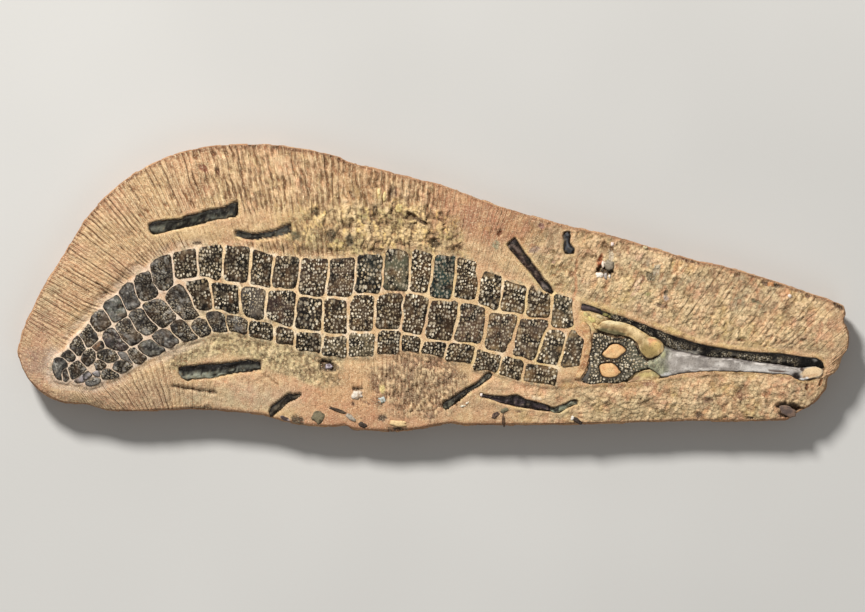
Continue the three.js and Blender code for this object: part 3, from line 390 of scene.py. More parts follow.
# Small pieces of bone and stone: x, y, half-sizes, turn in degrees, rise, colour, second colour.
FRAGMENTS = [
    (357, 395, 5.6, 4.4, -8, 1.6, (228, 216, 200), (176, 150, 124)),
    (329, 366.5, 3.6, 3, 0, 1.4, (196, 186, 194), (92, 80, 84)),
    (318, 416.5, 5.6, 7.2, 20, 0.8, (128, 118, 94), (78, 70, 54)),
    (397, 423.2, 9.6, 3.3, 5, 1.2, (230, 200, 150), (170, 130, 92)),
    (382, 400, 3.6, 3.2, 0, 0.6, (196, 200, 194), (112, 112, 92)),
    (495.5, 415, 4.8, 2.6, -36, 0.9, (106, 86, 74), (66, 50, 44)),
    (505, 410, 4.2, 2.2, -32, 0.8, (120, 114, 92), (80, 72, 58)),
    (503.4, 420, 1.5, 6.2, -4, 0.7, (110, 86, 66), (66, 50, 40)),
    (578, 420.8, 5.8, 2.2, 34, 1.0, (66, 56, 50), (38, 30, 28)),
    (572.6, 418, 1.6, 2.3, 20, 1.0, (240, 234, 226), (210, 196, 180)),
    (463, 406, 3, 1.2, -5, 0.6, (232, 226, 208), (190, 178, 150)),
    (467.5, 402.8, 2, 1.1, -30, 0.6, (236, 226, 206), (190, 170, 140)),
    (481.3, 395, 1.5, 1.9, 10, 1.0, (244, 236, 230), (220, 196, 186)),
    (604.3, 262.6, 2.2, 4.8, 24, 0.4, (246, 230, 212), (214, 190, 168)),
    (609.6, 265, 5.4, 5, 10, 1.4, (154, 142, 124), (108, 98, 82)),
    (599.4, 275, 3.7, 2.9, 10, 1.2, (250, 238, 224), (216, 196, 176)),
    (605.6, 276, 1.9, 3.3, 0, 0.9, (176, 166, 158), (120, 108, 100)),
    (609.7, 276.3, 1.2, 1.7, 0, 1.0, (246, 236, 226), (210, 196, 180)),
    (612.4, 244, 1.7, 1.9, 0, 0.8, (244, 228, 220), (206, 180, 170)),
    (771, 284.5, 3, 2.6, 0, 0.6, (206, 152, 104), (160, 108, 72)),
    (790, 296, 2.3, 1.8, 20, 0.7, (232, 222, 212), (190, 170, 156)),
    (284.5, 418.5, 5.6, 1.9, 26, 0.9, (74, 62, 60), (196, 180, 174)),
    (338, 410.5, 9.4, 1.7, 20, 0.9, (92, 78, 64), (50, 40, 34)),
    (350.5, 417.5, 5.6, 2.6, 38, 0.9, (176, 166, 150), (120, 104, 88)),
    (362.5, 425, 4.8, 2.8, 26, 0.9, (72, 62, 54), (36, 30, 28)),
    (399, 208.5, 3.4, 4.6, -10, 0.9, (224, 204, 146), (184, 156, 98)),
    (379, 194, 2, 6, -3, 1.2, (236, 214, 160), (196, 166, 110)),
    (384.5, 197, 1.7, 5.4, 6, 1.1, (230, 206, 150), (180, 150, 98)),
    (788, 411.5, 8.4, 5.0, 16, 0.6, (96, 82, 76), (132, 108, 92)),
    (645.5, 247.5, 2.4, 1.6, 15, 0.6, (214, 200, 160), (160, 140, 104)),
    (587, 314.5, 4.6, 2.6, 25, 0.7, (204, 188, 128), (150, 126, 88)),
    (591.5, 319.5, 5.0, 2.6, 32, 1.0, (222, 204, 134), (170, 144, 90)),
    (595.5, 326, 4.6, 2.2, 48, 1.1, (230, 202, 144), (160, 122, 82)),
    (600, 316.8, 4.6, 1.8, 18, 0.8, (214, 194, 150), (150, 126, 96)),
]
# Plates that stand out from the rest: colour, strength of the pits, their fineness.
ODD_PLATES = {
    "scute_upper_11": ((37, 55, 51), 0.4, 1.0), "scute_upper_09": ((84, 84, 66), 0.7, 1.0),
    "scute_upper_07": ((72, 54, 42), 0.75, 1.2), "scute_upper_06": ((52, 38, 30), 0.8, 1.1),
    "scute_upper_05": ((64, 50, 38), 0.75, 1.0), "scute_middle_11": ((86, 66, 54), 0.65, 1.15),
    "scute_middle_12": ((78, 60, 48), 0.65, 1.15), "scute_middle_13": ((70, 56, 46), 0.7, 1.1),
    "scute_middle_03": ((74, 68, 64), 0.85, 1.25), "scute_middle_04": ((54, 40, 36), 0.85, 1.15),
    "scute_middle_05": ((30, 24, 22), 1.0, 0.85), "scute_upper_08": ((26, 30, 27), 0.9, 0.9),
    "scute_middle_14": ((56, 48, 39), 1.35, 0.92), "scute_middle_15": ((56, 48, 39), 1.35, 0.92),
    "scute_lower_05": ((96, 86, 66), 0.9, 1.15), "scute_lower_04": ((80, 70, 54), 0.85, 1.05),
    "scute_upper_16": ((70, 66, 54), 1.3, 0.92), "tail_plate_10": ((84, 62, 48), 0.2, 1.0),
    "tail_plate_23": ((104, 100, 86), 0.15, 1.0), "tail_plate_30": ((158, 150, 152), 0.1, 1.0),
    "tail_plate_31": ((160, 152, 142), 0.3, 1.0), "tail_plate_32": ((176, 168, 168), 0.1, 1.0),
    "tail_plate_33": ((132, 98, 74), 0.1, 1.0), "tail_plate_14": ((60, 48, 48), 0.4, 1.0),
    "tail_plate_24": ((76, 66, 58), 0.4, 1.0), "tail_plate_01": ((84, 82, 76), 0.3, 1.0),
    "tail_plate_06": ((96, 98, 88), 0.3, 1.0), "tail_plate_07": ((88, 84, 80), 0.4, 1.0),
    "tail_plate_19": ((120, 116, 108), 0.3, 1.0),
}
# Tones of the loose bones: main, glint, and patches on them.
BONE_TONES = {
    "long_bone_upper_left": ((58, 56, 48), (104, 104, 92), [
        (195, 219, 6, 4, -15, (96, 104, 90), 0.6), (219, 213, 14, 4, -10, (104, 112, 104), 0.6),
        (187, 221, 3, 3, 0, (22, 20, 18), 0.9), (203, 221, 3.5, 2, 0, (18, 16, 15), 0.9),
        (153, 229, 5, 5, 0, (28, 26, 22), 0.8), (234, 209, 4, 7, 0, (34, 34, 32), 0.7)]),
    "rib_upper_left": ((58, 55, 48), (110, 108, 98), [(262, 236, 9, 2.4, -5, (104, 106, 98), 0.5)]),
    "long_bone_lower_left": ((104, 104, 94), (158, 160, 142), [
        (203, 375.5, 16, 4, -4, (166, 168, 148), 0.85), (236, 369.5, 22, 3.6, -10, (112, 112, 104), 0.7)]),
    "splinter_lower_left": ((60, 52, 42), (124, 114, 96), []),
    "long_bone_upper_right": ((54, 38, 36), (138, 120, 108), [(547, 288, 7, 4, 50, (140, 132, 126), 0.7)]),
    "short_bone_upper_right": ((36, 34, 34), (96, 100, 106), [(569.5, 249, 5, 5, 0, (98, 106, 118), 0.8)]),
    "rod_bone_lower": ((36, 33, 30), (96, 94, 84), [
        (449, 404.5, 7, 4, -40, (122, 120, 100), 0.8), (486, 379.5, 7, 4, -40, (126, 124, 106), 0.8)]),
    "long_bone_lower": ((42, 32, 34), (84, 72, 76), [
        (528, 404, 1, 4, -10, (176, 166, 160), 0.8), (500, 399.5, 14, 1.6, 6, (92, 80, 84), 0.5)]),
    "thin_bone_lower": ((140, 146, 122), (192, 194, 170), [(575, 402.5, 3.4, 3, 0, (66, 60, 52), 0.8)]),
}
# Patches on the bones of the head: x, y, half-sizes, turn in degrees, colour, strength.
SNOUT_MARKS = [
    (663, 354.5, 2.2, 3.6, 10, (188, 184, 134), 0.7), (666.5, 374.6, 5.4, 1.6, -8, (242, 240, 236), 0.9),
    (777, 370.8, 10, 1.1, 6, (72, 52, 42), 0.85), (796, 376, 4.2, 3.6, 30, (34, 28, 26), 0.9),
    (812.5, 372.8, 10.5, 5.4, -6, (230, 200, 158), 0.95), (809, 376, 8, 1.2, -12, (188, 150, 112), 0.7),
    (811, 379.3, 6, 1.2, -8, (52, 42, 36), 0.85), (802.5, 379, 2, 1.1, 10, (246, 244, 240), 0.95),
    (806.5, 378, 1.7, 1, 0, (244, 242, 238), 0.9), (802, 369.5, 1.8, 2, 0, (60, 46, 40), 0.8),
]
UPPER_CHEEK_MARKS = [
    (613, 328, 14, 2.4, 10, (140, 114, 80), 0.85), (612, 332, 14, 1.8, 12, (88, 84, 60), 0.85),
    (612, 322.5, 12, 1.8, 6, (238, 220, 176), 0.8), (652.5, 341, 4.4, 2.6, 20, (228, 158, 114), 0.7),
    (656, 346, 6, 4.4, 0, (220, 190, 120), 0.7), (649, 351, 9, 6, 20, (150, 128, 80), 0.85),
    (636, 332, 9, 3, 30, (236, 208, 160), 0.7), (643, 357, 5, 1.6, 30, (90, 76, 50), 0.7),
]
HIND_CHEEK_MARKS = [
    (646, 375, 7, 2.6, -6, (208, 188, 126), 0.8), (634, 379.5, 7, 1.8, -20, (150, 116, 92), 0.7),
    (655, 374, 4, 2.6, 30, (160, 150, 104), 0.7),
]

# ---------------------------------------------------------------- numbers


def step(low, high, value):
    """Soft step from 0 at low to 1 at high."""
    t = np.clip((value - low) / (high - low), 0, 1)
    return t * t * (3 - 2 * t)


def blend(a, b, amount):
    """Mixes two colours by an amount that may differ from place to place."""
    amount = np.asarray(amount, float)[..., None]
    return np.asarray(a, float) * (1 - amount) + np.asarray(b, float) * amount


def paint(colour, *layers):
    """Lays colours over a colour, each with its amount."""
    for tone, amount in layers:
        colour = blend(colour, tone, amount)
    return colour


def scatter(i, j, seed):
    """A fixed number in -1..1 for each whole-number place."""
    h = (i * 374761393 + j * 668265263 + seed * 2246822519) & 0xFFFFFFFF
    h = ((h ^ (h >> 13)) * 1274126177) & 0xFFFFFFFF
    return ((h ^ (h >> 16)) & 0xFFFF) / 32767.5 - 1


def noise(x, y, size, seed=0, octaves=1):
    """Smooth noise in -1..1 with bumps of about that size."""
    total, weight = 0.0, 1.0
    for k in range(octaves):
        gx, gy = x / size * 2**k, y / size * 2**k
        i, j = np.floor(gx).astype(np.int64), np.floor(gy).astype(np.int64)
        fx, fy = gx - i, gy - j
        fx, fy = fx * fx * (3 - 2 * fx), fy * fy * (3 - 2 * fy)
        corner = [[scatter(i + a, j + b, seed + 17 * k) for b in (0, 1)] for a in (0, 1)]
        near = corner[0][0] * (1 - fy) + corner[0][1] * fy
        total = total + weight * (near * (1 - fx) + (corner[1][0] * (1 - fy) + corner[1][1] * fy) * fx)
        weight *= 0.5
    return total


def mottling(x, y):
    """A function for blotches over these places: 0 to 1 from low to high of noise of a size and seed."""
    return lambda low, high, *grain: step(low, high, noise(x, y, *grain))


def shaken(points, amount, size, seeds, octaves=1):
    """Points moved about by noise, one seed for each direction."""
    return points + amount * np.stack([noise(*points.T, size, seed, octaves) for seed in seeds], -1)


def cells(x, y, size, seed=0):
    """For scattered points: how far the nearest and the next are, the nearest's number, the place in it."""
    x, y = x / size, y / size
    i0, j0 = np.floor(x).astype(np.int64), np.floor(y).astype(np.int64)
    near, far = np.full(x.shape, 9.0), np.full(x.shape, 9.0)
    own, lean = np.zeros(x.shape), np.zeros(x.shape)
    for i in (i0 - 1, i0, i0 + 1):
        for j in (j0 - 1, j0, j0 + 1):
            px = i + 0.5 + 0.42 * scatter(i, j, seed)
            py = j + 0.5 + 0.42 * scatter(i, j, seed + 91)
            d = np.hypot(px - x, py - y)
            own = np.where(d < near, scatter(i, j, seed + 7), own)
            lean = np.where(d < near, x - px, lean)
            far = np.where(d < near, near, np.minimum(far, d))
            near = np.minimum(near, d)
    return near, far, own, lean


def turned(x, y, turn):
    """Places as seen along and across a direction, given in degrees."""
    c, s = np.cos(np.radians(turn)), np.sin(np.radians(turn))
    return x * c + y * s, y * c - x * s


def in_ellipse(x, y, mark):
    """Distance from an ellipse's centre, 1 on its edge, from (x, y, half, half, turn)."""
    along, across = turned(x - mark[0], y - mark[1], mark[4])
    return np.hypot(along / mark[2], across / mark[3])


def patched(colour, x, y, marks, ragged, outer=1.25, inner=0.7):
    """Lays marks (x, y, half, half, turn, colour, strength) with ragged, soft edges over a colour."""
    layers = ((mark[5], mark[6] * step(outer, inner, in_ellipse(x, y, mark) + ragged)) for mark in marks)
    return paint(colour, *layers)


def lengths(line):
    """How far along a line each of its points lies."""
    return np.concatenate([[0], np.cumsum(np.hypot(*np.diff(line, axis=0).T))])


def follow(line, s, t):
    """Places at t along a line whose points lie at s."""
    return np.stack([np.interp(t, s, line[:, k]) for k in (0, 1)], -1)


def walk(line, pitch):
    """Evenly spaced points along an open line, both ends kept."""
    line = np.array(line, float)
    s = lengths(line)
    return follow(line, s, np.linspace(0, s[-1], max(2, int(s[-1] / pitch) + 1)))


def line_distance(x, y, line):
    """Distance to an open line."""
    best = np.full(x.shape, 1e9)
    for a, b in zip(line, line[1:]):
        d = b - a
        t = np.clip(((x - a[0]) * d[0] + (y - a[1]) * d[1]) / (d @ d), 0, 1)
        best = np.minimum(best, np.hypot(x - a[0] - t * d[0], y - a[1] - t * d[1]))
    return best


FAR = 99.0                    # stands for any distance out of reach


def polygon_distance(x, y, corners, reach=None):
    """Distance to a polygon's edge, negative inside it; places out of reach are left at FAR."""
    if reach is not None:
        low, high = corners.min(0) - reach, corners.max(0) + reach
        near = (x > low[0]) & (x < high[0]) & (y > low[1]) & (y < high[1])
        best = np.full(x.shape, FAR)
        best[near] = polygon_distance(x[near], y[near], corners)
        return best
    inside = np.zeros(x.shape, bool)
    for a, b in zip(corners, np.roll(corners, -1, 0)):
        crosses = (a[1] > y) != (b[1] > y)
        with np.errstate(divide="ignore", invalid="ignore"):
            inside ^= crosses & (x < a[0] + (y - a[1]) / (b[1] - a[1]) * (b[0] - a[0]))
    best = line_distance(x, y, np.vstack([corners, corners[:1]]))
    return np.where(inside, -best, best)


def halves(x, upper, tables):
    """A value along x, from the table of the half above the animal or below it."""
    above, below = (np.interp(x, list(table), list(table.values())) for table in tables)
    return np.where(upper, above, below)


class Loop:
    """A closed line with softened corners, walked by arc length."""

    def __init__(self, points, soften, pitch=0.5):
        p = np.vstack([points, points[:1]])
        s = lengths(p)
        p = follow(p, s, np.arange(0, s[-1], pitch))
        reach = int(3 * soften / pitch)
        weights = np.exp(-0.5 * (np.arange(-reach, reach + 1) * pitch / soften) ** 2)
        weights /= weights.sum()
        padded = np.concatenate([p[-reach:], p, p[:reach]])
        p = np.stack([np.convolve(padded[:, k], weights, "valid") for k in (0, 1)], -1)
        self.points = np.vstack([p, p[:1]])
        self.s = lengths(self.points)
        self.length = self.s[-1]

    def at(self, s):
        return follow(self.points, self.s, np.mod(s, self.length))

    def ring(self, count, shift=0.0):
        return self.at((np.arange(count) + shift) / count * self.length)

    def locate(self, x, y):
        return self.s[np.argmin(np.hypot(self.points[:, 0] - x, self.points[:, 1] - y))]


def back_y(x):
    """The animal's centre line."""
    return np.interp(x, *BACK_LINE.T)


def arch(x, y):
    """Rise of the armour towards the animal's centre line."""
    return ARCH_RISE * (1 - np.clip(np.abs(y - back_y(x)) / ARCH_HALF_WIDTH, 0, 1) ** 2)


def under_top(z, limit=TOP_Z, bend=0.5):
    """Heights bent softly so that none passes a limit."""
    room = limit - z
    return limit - np.where(room > bend, room, bend * np.exp(np.minimum(room, bend) / bend - 1))


def node_points(name):
    """A CAD node's own corner points: x and y on the sheet, z in millimetres."""
    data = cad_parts[name].data
    co = np.empty(len(data.vertices) * 3)
    data.vertices.foreach_get("co", co)
    co = np.unique(np.round(co.reshape(-1, 3) / MM, 2), axis=0)
    return np.stack([co[:, 0] + SHEET[0], SHEET[1] - co[:, 1], co[:, 2]], -1)


def crown(name):
    """The height of a CAD node's top."""
    return node_points(name)[:, 2].max()


# ---------------------------------------------------------------- meshes


def srgb(colour):
    """Linear values of 0 to 255 colours."""
    c = np.clip(np.asarray(colour, float) / 255, 0, 1)
    return np.where(c <= 0.04045, c / 12.92, ((c + 0.055) / 1.055) ** 2.4)


def grid_faces(ids):
    """Quads of a grid of vertex numbers."""
    return np.stack([ids[:-1, :-1], ids[1:, :-1], ids[1:, 1:], ids[:-1, 1:]], -1).reshape(-1, 4)


def fan(tip, ring):
    """Triangles from a tip to a closed ring of vertex numbers."""
    return [(tip, a, b) for a, b in zip(ring, np.roll(ring, -1))]


def zip_faces(a, b, at_a=None, at_b=None):
    """Triangles between two rows of vertex numbers, kept level by each row's own measure."""
    at_a = np.linspace(0, 1, len(a)) if at_a is None else at_a
    at_b = np.linspace(0, 1, len(b)) if at_b is None else at_b
    faces, i, j = [], 0, 0
    while i < len(a) - 1 or j < len(b) - 1:
        if j == len(b) - 1 or (i < len(a) - 1 and at_a[i + 1] <= at_b[j + 1]):
            faces.append((a[i], a[i + 1], b[j]))
            i += 1
        else:
            faces.append((a[i], b[j + 1], b[j]))
            j += 1
    return [f for f in faces if len(set(f)) == 3]


def linked(name, data):
    """A new object in the scene."""
    thing = bpy.data.objects.new(name, data)
    bpy.context.scene.collection.objects.link(thing)
    return thing


def make_mesh(name, points, quads, triangles, colours, vectors):
    """A closed mesh from sheet points in millimetres, with its faces turned outwards."""
    co = np.stack([points[:, 0] - SHEET[0], SHEET[1] - points[:, 1], points[:, 2]], -1) * MM
    triangles = np.asarray(triangles, np.int64).reshape(-1, 3)
    corners = np.concatenate([quads.ravel(), triangles.ravel()])
    starts = np.concatenate([np.arange(len(quads)) * 4, len(quads) * 4 + np.arange(len(triangles)) * 3])
    data = bpy.data.meshes.new(name)
    data.vertices.add(len(co))
    data.vertices.foreach_set("co", co.ravel())
    data.loops.add(len(corners))
    data.loops.foreach_set("vertex_index", corners)
    data.polygons.add(len(starts))
    data.polygons.foreach_set("loop_start", starts)
    data.update(calc_edges=True)
    data.validate()
    turned_out = bmesh.new()
    turned_out.from_mesh(data)
    bmesh.ops.recalc_face_normals(turned_out, faces=turned_out.faces)
    if turned_out.calc_volume(signed=True) < 0:
        bmesh.ops.reverse_faces(turned_out, faces=turned_out.faces)
    turned_out.to_mesh(data)
    turned_out.free()
    data.shade_smooth()
    rgba = np.ones((len(data.vertices), 4), np.float32)
    rgba[:, :3] = srgb(colours)
    data.attributes.new("tint", "FLOAT_COLOR", "POINT").data.foreach_set("color", rgba.ravel())
    for key, values in vectors.items():
        store = data.attributes.new(key, "FLOAT_VECTOR", "POINT")
        store.data.foreach_set("vector", np.asarray(values, np.float32).ravel())
    return linked(name, data)


def place(piece, material, slot, *nodes):
    """Gives a piece its material and its body, and hides the CAD nodes that it stands for; slot is not used.
    """
    piece.data.materials.append(material)
    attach(piece, "root")
    if nodes:
        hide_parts(*nodes)


# ---------------------------------------------------------------- layout of the face

strips = {name: np.vstack([back, front[::-1]]) for name, (back, front) in STRIPS.items()}
head_parts = [strips[name] for name in HEAD] + [ROOF_OUTLINE]
outline, bed = Loop(SLAB_OUTLINE, 1.6), Loop(BED_OUTLINE, 3.0)
rib_outer = np.array([outline.locate(*rib[:2]) for rib in RIBS] + [outline.length])
rib_inner = np.array([bed.locate(*rib[2:]) for rib in RIBS] + [bed.length])
rib_outer[0] = rib_inner[0] = 0.0


def bed_station(s):
    """Where on the bed's edge the chisel line from a place on the outline ends, softened."""
    offsets = np.linspace(-14, 14, 9)
    total = 0.0
    for offset in offsets:
        t = s + offset
        turns = np.floor(t / outline.length)
        total = total + np.interp(t - turns * outline.length, rib_outer, rib_inner) + turns * bed.length
    return total / len(offsets)


def plate_corners(name):
    """The four corners of a CAD plate before they were cut back, upper left first, clockwise."""
    p = node_points(name)
    ring = p[p[:, 2] < p[:, 2].min() + 0.05][:, :2]
    centre = ring.mean(0)
    ring = ring[np.argsort(np.arctan2(ring[:, 1] - centre[1], ring[:, 0] - centre[0]))]
    sides = np.roll(ring, -1, 0) - ring
    if np.hypot(*sides[0]) + np.hypot(*sides[2]) < np.hypot(*sides[1]) + np.hypot(*sides[3]):
        ring, sides = np.roll(ring, -1, 0), np.roll(sides, -1, 0)
    corners = []
    for k in range(0, 8, 2):
        a, u, b, v = ring[k], sides[k], ring[(k + 2) % 8], sides[(k + 2) % 8]
        t = ((b - a)[0] * v[1] - (b - a)[1] * v[0]) / (u[0] * v[1] - u[1] * v[0])
        corners.append(a + u * t)
    corners = np.array(corners)
    return corners[np.argsort(np.arctan2(*(corners - corners.mean(0)).T[::-1]))]


plates = {name: plate_corners(name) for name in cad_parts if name.startswith("scute_")}
plates.update({f"tail_plate_{k:02d}": corners for k, corners in enumerate(TAIL_PLATES, 1)})


def plate_gaps(x, y):
    """Distance to the nearest plate, and to the one after it."""
    near, far = np.full(x.shape, FAR), np.full(x.shape, FAR)
    for corners in plates.values():
        d = polygon_distance(x, y, corners, 10)
        far = np.where(d < near, near, np.minimum(far, d))
        near = np.minimum(near, d)
    return near, far


# ---------------------------------------------------------------- the stone's face


def zones(x, y, share, inside, upper, bone):
    """How strongly each kind of surface shows, from place to place."""
    near_bed = 1 - step(0, 8, -inside)
    smooth = np.maximum(1 - step(1.0, 7, bone), near_bed * halves(x, upper, SMOOTH_BY_BED))
    smooth = np.maximum(smooth, step(0.55, 0.9, share) * halves(x, upper, SMOOTH_BY_RIM))
    smooth = np.maximum(smooth, 0.8 * upper * step(1.25, 0.85, in_ellipse(x, y, SMOOTH_PATCH)))
    wild = step(1.25, 0.7, in_ellipse(x, y, CRUMBLY_PATCH) + 0.3 * noise(x, y, 12, 14)) * upper
    calm = step(1.3, 0.6, in_ellipse(x, y, TAIL_PATCH))
    chisel = halves(x, upper, CHISELLED)
    if not upper:
        chisel = chisel * np.interp(share * step(340, 370, x), [0, 0.45, 0.8], [1.0, 0.8, 0.3])
    chisel = chisel * (1 - 0.85 * smooth) * (1 - 0.75 * wild) * step(6.0, 2.0, inside) * (1 - 0.75 * calm)
    breadth = np.interp(x, [250, 285], [17, 27]) + 4 * noise(x, y, 14, 53)
    band = step(-breadth, 7 - breadth, inside) * step(160, 176, x) * step(352, 332, x) * (1 - upper)
    lumpy = np.maximum(halves(x, upper, LUMPY) * (1 - 0.6 * smooth), 0.75 * band) * step(3, 0, inside)
    chopped = step(1.25, 0.75, in_ellipse(x, y, CHOPPED_PATCH) + 0.25 * noise(x, y, 9, 25)) * (1 - upper)
    chunky = upper * step(180, 225, x) * step(455, 430, x) * (1 - wild) * (1 - smooth)
    return SimpleNamespace(near_bed=near_bed, smooth=smooth, wild=wild, chisel=chisel, band=band, lumpy=lumpy,
                           chopped=chopped, chunky=np.maximum(chunky, 0.5 * chopped))


def strokes(x, phase, along, upper):
    """The chisel marks: their relief, the force of each, and bands that follow them."""
    pitch = halves(x, upper, PITCH)
    index = np.round(phase).astype(np.int64)
    off = phase - index
    force = 0.54 + 0.5 * scatter(index, 0 * index, 5) + 0.14 * noise(index * 2.3, along / 20, 1, 39)
    length = halves(x, upper, STROKE_LENGTH)
    dash = noise(index * 5.3, along / length, 1, 6) + 0.4 * noise(index * 3.1, along / 6, 1, 7)
    dash = 1 - (1 - step(-0.5, 0.35, dash)) * halves(x, upper, BROKEN)
    crest = force * np.exp(-((np.abs(off) - 0.36) / 0.12) ** 2)
    force = force * (0.12 + 0.88 * dash)
    cut = force * np.exp(-(off / np.maximum(0.2, 0.95 / pitch)) ** 2)
    relief = 0.5 * crest + 0.3 * noise(phase * 1.9, along / 16, 1, 16) - np.minimum(0.3 * pitch, 1.9) * cut
    return relief, force, noise(index * 7.7 + 0.5, along / 60, 1, 8)


def blades(x, y, phase, along, upper, chip):
    """Broad chopped ridges: their relief, the blades, their bright crests and the deep cuts between them."""
    bent = phase * (1.12 if upper else 1.25) + 0.3 * noise(x, y, 12, 26) + 0.17 * chip
    run = along / (9 if upper else 4.5)
    row, gate = np.round(bent).astype(np.int64), np.floor(bent).astype(np.int64)
    across = bent - row
    blade = noise(row * 7.7 + 0.5, run, 1, 27, 2)
    deep = step(0.22, 0.42, np.abs(across)) * step(-0.6, 0.3, noise(gate * 5.3 + 0.5, run, 1, 29, 2))
    crest = step(-0.1, -0.24, across) * step(-0.45, -0.36, across)
    crest = crest * step(-0.3, 0.5, noise(row * 3.7, run * 1.3, 1, 20))
    relief = 0.8 * blade + 0.7 * crest - 2.1 * deep - 0.6 * across + 0.6 * noise(x, y, 3.4, 28, 2)
    return relief, blade, crest, deep


def lumps(x, y, tilt_x, tilt_y, chip):
    """The leaning lumps of the right part, and the creases between them."""
    near, far, own, _ = cells(tilt_y + 2.8 * chip, tilt_x * 0.74 + 2.6 * noise(x, y, 6, 22), 5.6, 4)
    crease = step(0.2, 0.04, far - near)
    lump = np.clip(1.1 - 1.35 * near**2, -0.4, 1.1) * (0.75 + 0.5 * own) + 0.35 * own - 0.5 * crease
    return lump * (0.8 + 0.5 * noise(x, y, 16, 24)) + 0.3 * noise(tilt_y * 1.6, tilt_x, 10, 25, 2), crease


def crumbs(x, y, chip):
    """The crumbly patch: its relief, the rifts between the crumbs, and the hollows."""
    near, far, spike, lean = cells(x + 2.4 * chip, y * 0.54 + 2.4 * noise(x, y, 5, 29), 5.2, 30)
    rift = step(0.26, 0.05, far - near)
    hollow = step(0.25, 0.75, noise(x, y * 1.2, 10, 21, 2))
    return 1.2 * spike + 1.5 * lean - 1.3 * rift + 0.8 * noise(x, y, 3.6, 23, 2) - 1.4 * hollow, rift, hollow


def flakes(x, y):
    """The chopped patch: a number for each flake, and the splits between them."""
    near, far, flake, _ = cells(x + 1.6 * noise(x, y, 6, 57), y * 0.55 + noise(x, y, 7, 58), 3.9, 56)
    return flake, step(0.3, 0.06, far - near)


